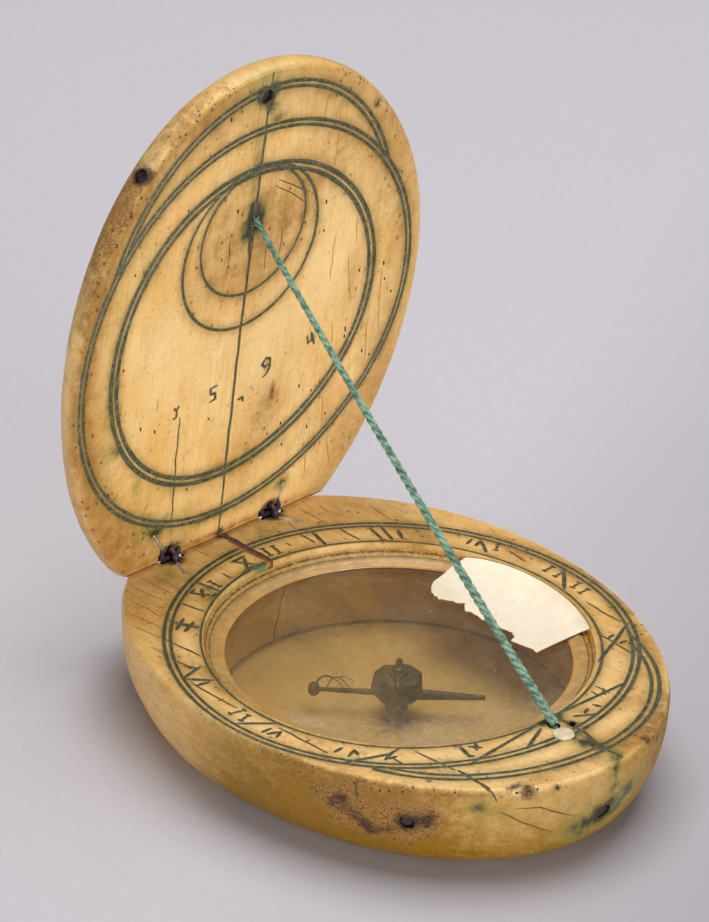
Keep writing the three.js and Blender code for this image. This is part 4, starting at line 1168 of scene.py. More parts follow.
def ring_gap(x, y, rings):
    """Distance from each point to the nearest engraved ring."""
    nearest = np.full(len(x), 99.0)
    for centre_x, centre_y, radius, even, odd, first, last, width in rings:
        angle = np.arctan2(y - centre_y, x - centre_x)
        reach = radius + even * np.cos(3 * angle) + odd * np.sin(3 * angle)
        gap = np.abs(np.hypot(x - centre_x, y - centre_y) - reach)
        within = (np.degrees(angle) - first) % 360 <= last - first
        nearest = np.minimum(nearest, np.where(within, gap, 99.0))
    return nearest


def place_strength(places, spots):
    clear = np.ones(len(places))
    for x, y, z, reach, strength in spots:
        away = ((places - np.array((x, y, z))) ** 2).sum(axis=1) / reach ** 2
        clear *= 1 - strength * np.exp(-0.9 * away)
    return 1 - clear


def side_strength(places, plan, height, marks):
    spots = []
    for degrees, depth, reach, strength in marks:
        spots.append((*side_point(plan, degrees, depth, height), reach, strength))
    return place_strength(places, spots)


def paint(leaf, leaf_spot, layers, wear):
    """Stores where each point lies on its leaf, its stains, and its varnish, crust and verdigris."""
    mesh = leaf.data
    mesh.attributes.new("leaf", "FLOAT_VECTOR", "POINT").data.foreach_set("vector", leaf_spot.ravel())
    colours = np.stack(layers, axis=1)
    mesh.attributes.new("stain", "FLOAT_COLOR", "POINT").data.foreach_set("color", colours.ravel())
    marks = np.stack(wear, axis=1)
    mesh.attributes.new("wear", "FLOAT_VECTOR", "POINT").data.foreach_set("vector", marks.ravel())


def split_flats(leaf, axis, face, size):
    """Splits the long edges of a flat face, so that painted stains keep their shape."""
    work = bmesh.new()
    work.from_mesh(leaf.data)
    for turn in range(9):
        many = [part for part in work.faces if len(part.verts) > 3
                and abs(part.calc_center_median()[axis] - face) < FLAT_GAP]
        bmesh.ops.triangulate(work, faces=many)
        long = [edge for edge in work.edges if edge.calc_length() > size
                and all(abs(end.co[axis] - face) < FLAT_GAP for end in edge.verts)]
        if not long:
            break
        bmesh.ops.subdivide_edges(work, edges=long, cuts=1)
    bmesh.ops.triangulate(work, faces=[part for part in work.faces if len(part.verts) > 4])
    work.to_mesh(leaf.data)
    work.free()


def rod(radius, start, end, material, sides=20):
    return tube("rod", [([start, end], radius, False)], material, sides)


def pin_line(plan, degrees, depth, height, sunk, length):
    angle = math.radians(degrees)
    x, y, z = side_point(plan, degrees, depth, height)
    reach = plan["front"] if math.sin(angle) < 0 else plan["back"]
    across = (math.cos(angle) / plan["half_width"], math.sin(angle) / reach)
    size = math.hypot(*across)
    across = (across[0] / size, across[1] / size)
    start = (x - across[0] * sunk, y - across[1] * sunk, z)
    return start, (start[0] - across[0] * length, start[1] - across[1] * length, z)


def ragged_rod(radius, start, end, material, wobble):
    """A rough round bar, for a worn hole or a corroded stub."""
    steps = 14
    a = np.array(start, dtype=float)
    b = np.array(end, dtype=float)
    line = [a + (b - a) * i / steps for i in range(steps + 1)]
    made = tube("rod", [(line, radius, False)], material, 24)
    spots = vertex_places(made)
    for spot in spots:
        for axis in range(3):
            spot[axis] += wobble * noise.noise((spot[0] * 1.6 + axis * 9.0, spot[1] * 1.6, spot[2] * 1.6))
    made.data.vertices.foreach_set("co", spots.ravel())
    made.data.update()
    return made


def base_height(depth):
    return BASE_TOP - depth


def lid_height(depth):
    return LID_FACE_Z + depth


def eye_leg(hinge):
    z = BASE_TOP - 0.02
    back = math.sqrt(EYE_RADIUS ** 2 - (AXIS_Z - z) ** 2)
    hole = (hinge["eye_hole_x"], HINGE_Y - EYE_HOLE_BACK)
    return [(hinge["x"], HINGE_Y - back, z), (*hole, z), (*hole, z - EYE_HOLE_DEPTH)]


def staple_line(hinge):
    outward = math.copysign(1, hinge["lid_hole"][0] - hinge["x"])
    z = LID_FACE_Z + 0.04
    near = hinge["x"] + outward * STAPLE_HALF
    far = hinge["x"] - outward * STAPLE_HALF
    hole = (hinge["lid_hole"][0], HINGE_Y - hinge["lid_hole"][1])
    return [
        (*hole, z + STAPLE_HOLE_DEPTH), (*hole, z),
        (near, HINGE_Y - NOTCH_REACH, z), (near, HINGE_Y, AXIS_Z), (far, HINGE_Y, AXIS_Z),
        (far, HINGE_Y - NOTCH_REACH / 2, z), (far, HINGE_Y - NOTCH_REACH / 2, z + STAPLE_HOLE_DEPTH),
    ]


def rounded(corners, bend=0.5, steps=5):
    """A bent wire's line: straight runs with a small round bend at each corner."""
    spots = [np.array(corner, dtype=float) for corner in corners]
    path = [spots[0]]
    for before, corner, after in zip(spots, spots[1:], spots[2:]):
        to_before = before - corner
        to_after = after - corner
        size_before = np.linalg.norm(to_before)
        size_after = np.linalg.norm(to_after)
        start = corner + to_before / size_before * min(bend, size_before * 0.45)
        end = corner + to_after / size_after * min(bend, size_after * 0.45)
        for i in range(steps + 1):
            t = i / steps
            path.append((1 - t) ** 2 * start + 2 * t * (1 - t) * corner + t ** 2 * end)
    path.append(spots[-1])
    return [tuple(spot) for spot in path]


class OBJECT_OT_sundial_base(bpy.types.Operator):
    """Makes the lower leaf with its bowl, engraving, holes, cracks and stains"""
    bl_idname = "object.sundial_base"
    bl_label = "Base leaf"

    def execute(self, context):
        look = finishes(context.scene)
        grime = look["grime"]
        leaf = leaf_body("ivory_base", BASE_PLAN, base_height, look["ivory"])
        carve(leaf, mesh_object("chord", *block((-60, HINGE_Y, -1), (60, 80, 20)), look["ivory"]))
        bowl = turned([
            (0, BOWL_FLOOR), (20.4, BOWL_FLOOR), (20.75, BOWL_FLOOR + 0.35), (BOWL_RADIUS, REBATE_FLOOR),
            (REBATE_RADIUS, REBATE_FLOOR), (REBATE_RADIUS, BASE_TOP - 0.25), (22.5, BASE_TOP + 0.02),
            (22.5, 14), (0, 14)], 288)
        carve(leaf, mesh_object("bowl", *bowl, look["ivory"]))
        for hinge in HINGES:
            carve_hinge(leaf, hinge, [eye_leg(hinge)], grime)
        carve(leaf, rod(0.6, (0, 0, 5), (0, 0, 1.6), look["ivory"]))
        carve(leaf, rod(0.72, (*THREAD_ENTRY, 14), (*THREAD_ENTRY, 6.3), grime))
        carve(leaf, rod(1.26, (*PEG_SPOT, 14), (*PEG_SPOT, 7.2), grime, 40))
        carve(leaf, ragged_rod(0.42, (1.75, -25.2, 13), (1.75, -25.2, 11.2), grime, 0.1))
        for pin in (BASE_SIDE_PIN, BASE_FRONT_PIN):
            line = pin_line(BASE_PLAN, *pin, base_height, -1, PIN_HOLE_LENGTH)
            carve(leaf, ragged_rod(PIN_HOLE_RADIUS, *line, grime, 0.22))
        self.engraving(leaf, look)
        pits = scattered_pits(7, [(d, h, 0.75 * r) for d, h, r in SIDE_PITS], (
            (60, -156, -131, 2.0, 8.2, 0.17), (40, -150, -132, 3.0, 7.0, 0.2),
            (60, -170, -118, 0.15, 1.2, 0.15), (16, -98, -86, 4.6, 7.6, 0.16),
            (14, -80, -68, 0.2, 1.6, 0.15)))
        carve_side(leaf, BASE_PLAN, base_height, SIDE_CRACKS, pits, look["split"], look["grime"])
        for axis, face, size in ((2, BASE_TOP, 0.7), (2, 0.0, 1.6), (1, HINGE_Y, 0.9)):
            split_flats(leaf, axis, face, size)
        self.stains(leaf)
        finish_mesh(leaf)
        attach(leaf, "base", "base_leaf")
        return {"FINISHED"}

    def engraving(self, leaf, look):
        channel = stroke_path((1.45, 30.5, 1.25, 26.0, 1.4, 23.4, 1.2, 22.2), 1.3, 0.0)
        engrave(leaf, [channel], BASE_TOP, 1, look["channel"])
        blot = [([(1.15, 30.3), (1.6, 30.2)], [0.52, 0.46], False)]
        engrave(leaf, blot, BASE_TOP, 1, look["grime"])
        drip = [
            (1.2, 22.7, 12.5), (1.1, 22.42, 11.9), (0.8, 22.36, 11.3), (0.4, 22.34, 10.8), (0.1, 22.34, 10.4)]
        drip_path = (drip, [0.5, 0.42, 0.36, 0.3, 0.24], False)
        carve(leaf, tube("drip", [drip_path], look["channel"], 12))
        seam = []
        for degrees, z in (
                (88.3, BOWL_FLOOR + 0.3), (88.6, 4.0), (86.9, 5.6), (86.2, 7.2), (84.9, 8.6), (84.2, 9.4)):
            reach = 20.78 + 0.02 * (z - BOWL_FLOOR)
            seam.append((reach * math.cos(math.radians(degrees)), reach * math.sin(math.radians(degrees)), z))
        carve(leaf, tube("seam", [(seam, 0.15, False)], look["corner"], 8))
        # Painted shade: a darker line round the corner of the bowl's floor and wall, widest at the back left.
        corner = []
        widths = []
        steps = 240
        for i in range(steps):
            angle = 2 * math.pi * i / steps
            corner.append((20.6 * math.cos(angle), 20.6 * math.sin(angle), BOWL_FLOOR + 0.12))
            shade_reach = 0.22 + 0.1 * math.cos(angle - math.radians(140))
            widths.append(shade_reach + 0.1 * noise.noise((3 * math.cos(angle), 3 * math.sin(angle), 6.0)))
        carve(leaf, tube("corner", [(corner, widths, True)], look["corner"], 10))
        split = stroke_path((1.0, -22.6, 1.5, -25.2, 0.9, -28.5, 0.6, -31.0, 0.8, -34.4), 0.42, 0.6)
        engrave(leaf, [split], BASE_TOP, 1, look["split"], look["bleed"])
        cracks = [stroke_path(stroke, 0.22, 0.2) for stroke in BASE_CRACKS]
        engrave(leaf, cracks, BASE_TOP, 1, look["crack"])
        strokes = [ring_path(ring) for ring in BASE_RINGS]
        for table, width, wander in (
                (BASE_BOLD, 0.5, 0.15), (BASE_THIN, 0.3, 0.2), (BASE_NUMERALS, 0.52, 0.1),
                (with_serifs(BASE_BARS), 0.46, 0.0)):
            strokes += [stroke_path(stroke, width, wander) for stroke in table]
        engrave(leaf, strokes, BASE_TOP, 1, look["pigment"], look["bleed"])

    def stains(self, leaf):
        places = vertex_places(leaf)
        x, y, z = places.T
        depth = BASE_TOP - z
        degrees = edge_place(BASE_PLAN, x, y)[0]
        top = np.clip(1.0 - depth, 0, 1)
        inside = np.hypot(x, y) < BOWL_MOUTH
        outer = np.where(inside, 0.0, 1.0)

        def on_side(marks):
            return outer * side_strength(places, BASE_PLAN, base_height, marks)

        dirt = top * np.exp(-(ring_gap(x, y, BASE_RINGS) / 0.75) ** 2)
        floor = np.where(inside & (z < 4), 0.05, 0.0)
        wall = np.where(inside & (z < 9), 0.35, 0.0)
        layers = [
            np.maximum(top * spot_strength(x, y, BASE_GREEN), on_side(SIDE_GREEN)) + 0.25 * dirt + floor,
            top * spot_strength(x, y, BASE_BROWN) + 0.35 * dirt,
            np.maximum(top * spot_strength(x, y, BASE_DARK), on_side(SIDE_DARK)),
            np.maximum(top * spot_strength(x, y, BASE_PALE), on_side(SIDE_PALE)) + wall,
        ]
        turns = (-270, -205, -188, -172, -150, -138, -128, -117, -104, -92, -84, -76, -66, 0, 90)
        shares = (0.75, 0.2, 0.42, 1.1, 1.4, 1.3, 0.92, 0.76, 0.84, 0.84, 0.95, 1.1, 1.2, 0.9, 0.75)
        varnish = np.interp(degrees, turns, shares) * np.clip((depth - 0.05) / 0.5, 0, 1)
        # The varnish is scaled up with depth, so the side darkens towards the bottom.
        varnish = varnish * np.interp(depth, (0, 4, 9, 12.3), (0.72, 0.85, 1.1, 1.25))
        under = np.where(inside & (z < 9.0), 0.04, np.where(inside, 0.45, 0.0)) * np.clip(depth - 0.3, 0, 1)
        crust = on_side(SIDE_CRUST)
        edge = np.interp(degrees, (-176, -166, -122, -112), (0, 0.6, 0.6, 0))
        edge = edge * np.exp(-((depth - 0.6) / 0.7) ** 2)
        crust = np.maximum(crust, outer * edge)
        verdigris = np.maximum(on_side(SIDE_VERDIGRIS), place_strength(places, (
            (-0.9, 22.3, 11.4, 0.9, 0.95), (0.2, 22.3, 10.8, 0.9, 0.95), (-0.2, 22.5, 12.1, 0.7, 0.6),
            (2.4, 22.2, 11.2, 1.2, 0.35))))
        wear = [np.where(inside, under, varnish), crust, verdigris]
        paint(leaf, np.stack([x, y, depth], axis=1), layers, wear)


class OBJECT_OT_sundial_lid(bpy.types.Operator):
    """Makes the upper leaf with its engraving, holes, worn rim and stains"""
    bl_idname = "object.sundial_lid"
    bl_label = "Lid leaf"

    def execute(self, context):
        look = finishes(context.scene)
        grime = look["grime"]
        leaf = leaf_body("ivory_lid", LID_PLAN, lid_height, look["ivory"])
        carve(leaf, mesh_object("chord", *block((-60, LID_CHORD, 0), (60, 80, 30)), look["ivory"]))
        for hinge in HINGES:
            line = staple_line(hinge)
            carve_hinge(leaf, hinge, [line[:4], line[4:]], grime)
        carve(leaf, rod(0.56, (*THREAD_HOLE, 11), (*THREAD_HOLE, 19), grime, 28))
        carve(leaf, ragged_rod(0.8, (*LID_TOP_PIN, 11.6), (*LID_TOP_PIN, 19), grime, 0.2))
        line = pin_line(LID_PLAN, *LID_RIM_PIN, lid_height, -1, PIN_HOLE_LENGTH)
        carve(leaf, ragged_rod(PIN_HOLE_RADIUS, *line, grime, 0.24))
        self.engraving(leaf, look)
        pits = scattered_pits(3, [(d, h, 0.6 * r) for d, h, r in LID_RIM_PITS], (
            (90, -172, -100, 0.0, 0.7, 0.15), (50, -168, -120, 0.6, 2.2, 0.15),
            (16, -68, -50, 0.0, 0.4, 0.17), (14, -200, -172, 0.0, 1.0, 0.12)))
        carve_side(leaf, LID_PLAN, lid_height, (), pits, look["crack"], look["split"])
        back = lid_height(LID_PLAN["thickness"])
        for axis, face, size in ((2, LID_FACE_Z, 0.7), (2, back, 1.6), (1, LID_CHORD, 0.9)):
            split_flats(leaf, axis, face, size)
        self.stains(leaf)
        finish_mesh(leaf, opened=True)
        attach(leaf, "lid", "lid_leaf")
        return {"FINISHED"}

    def engraving(self, leaf, look):
        def closed_lid(stroke):
            path, reaches, closed = stroke
            return [(x, HINGE_Y - v) for x, v in path], reaches, closed

        for table, width, wander, fill in (
                (LID_CRACKS, 0.16, 0.2, "crack"), (LID_SCRATCHES, 0.14, 0.25, "split"),
                (LID_FAINT, 0.2, 0.2, "bleed")):
            cuts = [closed_lid(stroke_path(stroke, width, wander)) for stroke in table]
            engrave(leaf, cuts, LID_FACE_Z, -1, look[fill])
        strokes = [ring_path(ring) for ring in LID_RINGS]
        for table, width, wander in ((LID_BOLD, 0.42, 0.1), (LID_THIN, 0.24, 0.2), (LID_NUMERALS, 0.42, 0.0)):
            strokes += [stroke_path(stroke, width, wander) for stroke in table]
        strokes = [closed_lid(stroke) for stroke in strokes]
        engrave(leaf, strokes, LID_FACE_Z, -1, look["pigment"], look["bleed"])
        dots = [([(x - 0.12, v), (x + 0.12, v + 0.05)], [radius, radius], False) for x, v, radius in LID_DOTS]
        engrave(leaf, [closed_lid(dot) for dot in dots], LID_FACE_Z, -1, look["split"])

    def stains(self, leaf):
        places = vertex_places(leaf)
        x, y, z = places.T
        v = HINGE_Y - y
        depth = z - LID_FACE_Z
        degrees, gap = edge_place(LID_PLAN, x, y)
        front = np.clip(1.6 - depth, 0, 1)
        layers = [front * spot_strength(x, v, spots) for spots in (LID_GREEN, LID_BROWN, LID_DARK)]
        dirt = front * np.exp(-(ring_gap(x, v, LID_RINGS) / 0.75) ** 2)
        layers[0] += 0.22 * dirt
        layers[1] += 0.35 * dirt
        hole = side_strength(places, LID_PLAN, lid_height, ((-132.2, 1.4, 1.2, 1.0), (-131.0, 0.6, 0.8, 0.5)))
        layers[2] = np.maximum(layers[2], hole)
        patches = side_strength(places, LID_PLAN, lid_height, (
            (-129.0, 1.4, 1.4, 0.7), (-126.0, 1.6, 1.6, 0.6), (-138.0, 1.4, 1.2, 0.5),
            (-120.0, 1.0, 1.5, 0.4)))
        layers.append(np.maximum(front * spot_strength(x, v, LID_PALE), patches))
        turns = (-270, -205, -186, -172, -160, -146, -134, -128, -118, -104, -94, -84, -60, -40, 0, 90)
        shares = (0.05, 0.05, 0.1, 0.3, 0.5, 0.75, 0.7, 0.35, 0.4, 0.25, 0.08, 0.08, 0.25, 0.1, 0.0, 0.05)
        rim = np.clip((depth + 0.5 - gap * 0.6) / 0.8, 0, 1)
        crust = np.interp(degrees, turns, shares) * rim
        gold = np.interp(degrees, (-210, -190, -170, -105, -95, -80), (0.4, 0.6, 0.8, 0.75, 0.5, 0.3))
        margin = np.interp(
            degrees, (-270, -210, -180, -120, -95, -70, 0, 60), (0.4, 0.5, 0.24, 0.36, 0.34, 0.24, 0.24, 0.4))
        band = margin * np.clip((6.5 - gap) / 4.5, 0, 1)
        line = np.maximum(gold * np.exp(-((gap - 0.7) / 0.5) ** 2), band)
        shade = np.interp(
            degrees, (-270, -210, -182, -125, -108, -80, -60, 0, 90),
            (0.5, 0.5, 0.2, 0.45, 0.2, 0.1, 0.3, 0.45, 0.5))
        deep = np.clip((gap - 4.0) / 9.0, 0, 1)
        shade = shade * (1 - deep) + 0.45 * deep
        varnish = np.where(depth < 0.3, line, shade * np.clip(depth / 1.2, 0, 1))
        paint(leaf, np.stack([x, v + 100, depth], axis=1), layers, [varnish, crust, np.zeros(len(x))])


class OBJECT_OT_sundial_thread(bpy.types.Operator):
    """Makes the twisted thread between the leaves and its knot behind the lid"""
    bl_idname = "object.sundial_thread"
    bl_label = "Thread gnomon"

    def execute(self, context):
        settings = context.scene.sundial_thread
        material = finishes(context.scene)["thread"]
        tree = bpy.data.node_groups["twisted_plies"]
        count = len(THREAD_POINTS)
        reaches = [1.04 - 0.39 * (i / (count - 1)) ** 0.8 for i in range(count)]
        run = list(THREAD_POINTS) + [(0.99, 26.5, 55.1), (0.99, 27.5, 55.22), (0.99, 28.4, 55.32)]
        reaches += [0.65, 0.65, 0.65]
        values = {
            "Plies": settings.plies, "Turns": settings.turns, "Ply Radius": settings.ply_radius / MM,
            "Lay Radius": settings.lay_radius / MM, "Steps": 420, "Material": material}
        thread = along_paths("thread_gnomon", [(run, reaches, False)], tree, values)
        finish_mesh(thread, sharp=80)
        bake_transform(thread)
        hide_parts("string_gnomon")

        tied = tube("thread_knot", self.knot(), material, 12)
        finish_mesh(tied, opened=True, sharp=80)
        attach(tied, "lid", "string_knot")
        return {"FINISHED"}

    def knot(self):
        """Paths of the knot behind the lid, its stem and end, and the frayed fibres in front."""
        hole_x, hole_y = THREAD_HOLE
        back = LID_FACE_Z + LID_PLAN["thickness"]
        steps = 60
        loop = []
        for i in range(steps):
            t = 2 * math.pi * i / steps
            loop.append((
                hole_x + 0.42 * (math.sin(t) + 1.2 * math.sin(2 * t)),
                hole_y + 0.42 * (math.cos(t) - 1.2 * math.cos(2 * t)),
                back + 0.85 - 0.42 * math.sin(3 * t)))
        stem = [(*THREAD_HOLE, LID_FACE_Z + 1.7 + 0.34 * i) for i in range(11)]
        end = [(hole_x + 0.5 * t + 0.3 * t * t, hole_y - 1.1 * t, LID_FACE_Z + 5.9 - 0.3 * t * t)
               for t in (0.5, 0.9, 1.3, 1.6)]
        paths = [(loop, 0.4, True), (stem, 0.36, False), (end, [0.36, 0.34, 0.34, 0.3], False)]
        for i in range(7):
            curl = []
            for k in range(7):
                away = 0.28 + 0.07 * k + 0.1 * noise.noise((i * 2.0, k * 0.6, 1.0))
                spin = 0.9 * i + 0.4 + 0.22 * k
                rise = 0.12 - 0.5 * math.sin(k * 0.5) * (0.6 + 0.4 * math.sin(i * 2.1))
                x = hole_x + away * math.cos(spin)
                curl.append((x, hole_y + away * math.sin(spin), LID_FACE_Z + rise))
            paths.append((curl, 0.05, False))
        return paths


class OBJECT_OT_sundial_compass(bpy.types.Operator):
    """Makes the pane, its retaining ring, the blank label and the swinging needle"""
    bl_idname = "object.sundial_compass"
    bl_label = "Compass, glass and label"

    def execute(self, context):
        look = finishes(context.scene)
        glass = self.pane(look["glass"])
        ring = self.split_ring(look["horn"])
        label = self.scrap(look["paper"])
        for piece, node, slot in (
                (glass, "compass_glass", "glass"), (ring, "glass_retaining_ring", "horn"),
                (label, "paper_label", "label_paper")):
            attach(piece, "base", node)
        bar = self.needle(look["iron"])
        hub = mesh_object("compass_hub", *turned([
            (1.1, 0.05), (2.5, 0.05), (2.8, 0.12), (2.92, 0.35), (2.94, 0.6), (2.86, 0.7), (2.84, 1.9),
            (2.78, 2.15), (2.6, 2.4), (2.3, 2.56), (1.5, 2.6), (1.4, 2.62), (1.1, 2.62), (1.1, 0.05)], 72),
            look["iron"])
        for vertex in hub.data.vertices:
            if math.hypot(vertex.co.x, vertex.co.y) > 2.0:
                vertex.co *= 1.0 + 0.09 * noise.noise(vertex.co * 0.9)
        cap = mesh_object("compass_cap", *turned([
            (0, 2.35), (0.65, 1.7), (0.65, -0.7), (1.0, -0.7), (1.0, 2.75), (0.92, 2.9), (0.72, 2.96),
            (0.7, 3.2), (0.55, 3.4), (0.3, 3.48), (0, 3.5)], 40), look["brass"])
        for piece, node, slot in (
                (bar, "needle_bar", "iron"), (hub, "needle_hub", "iron"), (cap, "needle_cap", "brass")):
            self.settle(piece)
            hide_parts(node)
        for piece, slot in ((self.wisp(look["iron"]), "thread"), (self.strap(look["brass"]), "brass")):
            self.settle(piece)
        return {"FINISHED"}

    def strap(self, material):
        """Brass strip over the hub, from the cap down both sides."""
        paths = []
        for side in (-1, 1):
            corners = [(0.2, side * 3.1, -0.8), (0.1, side * 3.1, 2.75), (0.0, side * 0.85, 2.95)]
            bend = rounded(corners, 0.8, 6)
            reach = [0.36 + 0.1 * noise.noise((side * 3.0, y, z)) for x, y, z in bend]
            paths.append((bend, reach, False))
        return tube("compass_strap", paths, material, 12)

    def settle(self, piece):
        piece.data.transform(Matrix.Translation((0, 0, NEEDLE_Z)) @ Matrix.Rotation(NEEDLE_TURN, 4, "Z"))
        finish_mesh(piece, sharp=40)
        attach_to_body(piece, "needle")

    def pane(self, material):
        """Flat pane with a rounded edge; its dust and painted glints are stored point by point."""
        rows = [21.8 * i / 50 for i in range(51)]
        section = [(r, 9.6) for r in rows] + [(22.0, 9.75), (22.0, 10.25)]
        section += [(r, GLASS_TOP) for r in reversed(rows)]
        glass = mesh_object("compass_pane", *turned(section, 192), material)
        x, y, z = vertex_places(glass).T
        # Painted glints: the first two spots, and the streak of nine small spots below, stand for glints on
        # the pane. The broader spots make the film thicker, most towards the front.
        dust_and_glints = spot_strength(x, y, (
            (-18.3, -2.4, 0.9, 1.3, 0.55), (-17.2, -4.4, 0.8, 1.3, 0.5), (-16.0, -6.2, 1.6, 1.6, 0.16),
            (-9.0, -15.0, 7.0, 4.0, 0.26), (-14.0, -9.0, 4.0, 5.0, 0.14), (0.0, -18.0, 8.0, 3.0, 0.2),
            (5.0, 18.0, 8.0, 3.0, 0.1)))
        # Painted glint: a thin bright streak drawn as a row of small spots.
        for i in range(9):
            glint_streak = ((-15.1 + 0.18 * i, -6.6 - 0.24 * i, 0.16, 0.16, 0.5),)
            dust_and_glints = np.maximum(dust_and_glints, spot_strength(x, y, glint_streak))
        dust_and_glints = np.where(z > 10, dust_and_glints, 0.0)
        glass.data.attributes.new("dust_and_glints", "FLOAT", "POINT").data.foreach_set("value", dust_and_glints)
        finish_mesh(glass)
        return glass

    def split_ring(self, material):
        section = [
            (19.8, 10.42), (22.27, 10.42), (22.27, 11.62), (22.12, 11.5), (21.98, 11.28), (21.84, 11.2),
            (21.72, 11.02), (21.5, 10.94), (21.3, 11.0), (21.0, 11.02), (20.7, 10.94), (20.5, 10.82),
            (20.2, 10.74), (19.98, 10.68), (19.84, 10.56)]
        count = 200
        points = []
        for i in range(count + 1):
            angle = math.radians(2.5 + 355 * i / count)
            points.extend((r * math.cos(angle), r * math.sin(angle), z) for r, z in section)
        size = len(section)
        faces = [tuple(reversed(range(size))), tuple(range(count * size, count * size + size))]
        for i in range(count):
            for k in range(size):
                after = (k + 1) % size
                faces.append((i * size + k, i * size + after, (i + 1) * size + after, (i + 1) * size + k))
        ring = mesh_object("glass_ring", points, faces, material)
        finish_mesh(ring, sharp=50)
        return ring

    def scrap(self, material):
        """Blank torn paper: flat on the pane, bent over the ring and up the wall of the rebate."""
        torn = [
            (12.2, -10.1), (12.1, -8.6), (11.8, -6.3), (12.9, -6.0), (13.3, -5.0), (12.9, -3.6), (13.2, -2.6),
            (13.0, -1.6), (12.7, -0.4), (12.9, 0.8), (12.7, 1.9), (13.8, 2.9), (13.2, 3.8), (13.1, 4.5),
            (12.3, 5.8), (12.6, 7.0), (13.3, 8.0), (14.5, 8.9), (16.0, 9.3), (17.5, 9.7)]
        rows = 60
        slope = ((0.0, 10.5), (16.0, 10.5), (18.0, 10.6), (19.4, 10.85), (20.6, 11.12), (21.3, 11.3),
                 (21.8, 11.6), (22.12, 11.95))
        points = []
        width = 30
        for row, (x, y) in enumerate(self.spread(torn, rows)):
            share = row / rows
            head = math.radians(-34.2 + 58.4 * share)
            crown = float(np.interp(share, (0, 0.45, 0.78, 0.92, 1), (12.28, 12.2, 12.12, 11.9, 11.6)))
            tear = 0.25 * noise.noise((x * 2.3, y * 2.3, 0.5))
            end = self.seen(LABEL_REACH * math.cos(head), LABEL_REACH * math.sin(head), crown)
            inner = math.hypot(x, y)
            for k in range(width):
                t = (k / (width - 1)) ** 0.8
                reach = inner + (LABEL_REACH - inner) * t + tear * max(0.0, 1 - 6 * t)
                rise = float(np.interp(reach, [r for r, z in slope], [z for r, z in slope]))
                rise = rise + (crown - slope[-1][1]) * min(1.0, max(0.0, (reach - 21.3) / 0.84))
                low = math.atan2(y, x) - 0.5
                high = low + 1.0
                for step in range(24):
                    turn = (low + high) / 2
                    spot = self.seen(reach * math.cos(turn), reach * math.sin(turn), rise)
                    beside = (end[0] - x) * (spot[1] - y) - (end[1] - y) * (spot[0] - x)
                    low, high = (low, turn) if beside > 0 else (turn, high)
                across = reach * math.cos(turn)
                back = reach * math.sin(turn)
                curl = 0.12 * max(0.0, noise.noise((across * 0.3, back * 0.3, 2.0)))
                points.append((across, back, rise + curl * (1 - t)))
        faces = []
        for row in range(rows):
            for k in range(width - 1):
                a = row * width + k
                faces.append((a, a + 1, a + width + 1, a + width))
        label = mesh_object("blank_label", points, faces, material)
        body = label.modifiers.new("thickness", "SOLIDIFY")
        body.thickness = 0.08
        body.offset = 0.0
        take_shape(label)
        finish_mesh(label)
        return label

    def seen(self, x, y, z):
        """Where a point above the pane seems to lie on it, as the camera sees it."""
        rise = z - GLASS_TOP - 0.1
        return x + VIEW_SLIDE[0] * rise, y + VIEW_SLIDE[1] * rise

    def spread(self, corners, rows):
        lengths = [0.0]
        for a, b in zip(corners, corners[1:]):
            lengths.append(lengths[-1] + math.dist(a, b))
        marks = np.linspace(0, lengths[-1], rows + 1)
        xs = np.interp(marks, lengths, [c[0] for c in corners])
        ys = np.interp(marks, lengths, [c[1] for c in corners])
        return list(zip(xs, ys))

    def wisp(self, material):
        """A few loose fibres caught on the needle's tail."""
        runs = (
            ((-9.4, -0.9, 0.3), (-9.2, -0.5, 1.2), (-8.6, 0.1, 1.7), (-7.6, 0.3, 1.5), (-6.6, 0.1, 1.0),
             (-6.2, -0.2, 0.4)),
            ((-9.3, 0.6, 0.3), (-9.0, 0.9, 1.0), (-8.2, 0.9, 1.4), (-7.2, 0.4, 1.3), (-6.0, 0.5, 1.6),
             (-5.0, 0.2, 1.2)),
            ((-8.0, 0.1, 0.3), (-7.7, 0.7, 0.9), (-7.0, 1.0, 1.2), (-6.2, 0.6, 1.0), (-5.4, -0.2, 0.5)),
        )
        paths = []
        for run in runs:
            fine = rounded(run, 0.9, 6)
            paths.append((fine, [0.09 - 0.04 * i / len(fine) for i in range(len(fine))], False))
        return tube("tail_fibres", paths, material, 6)

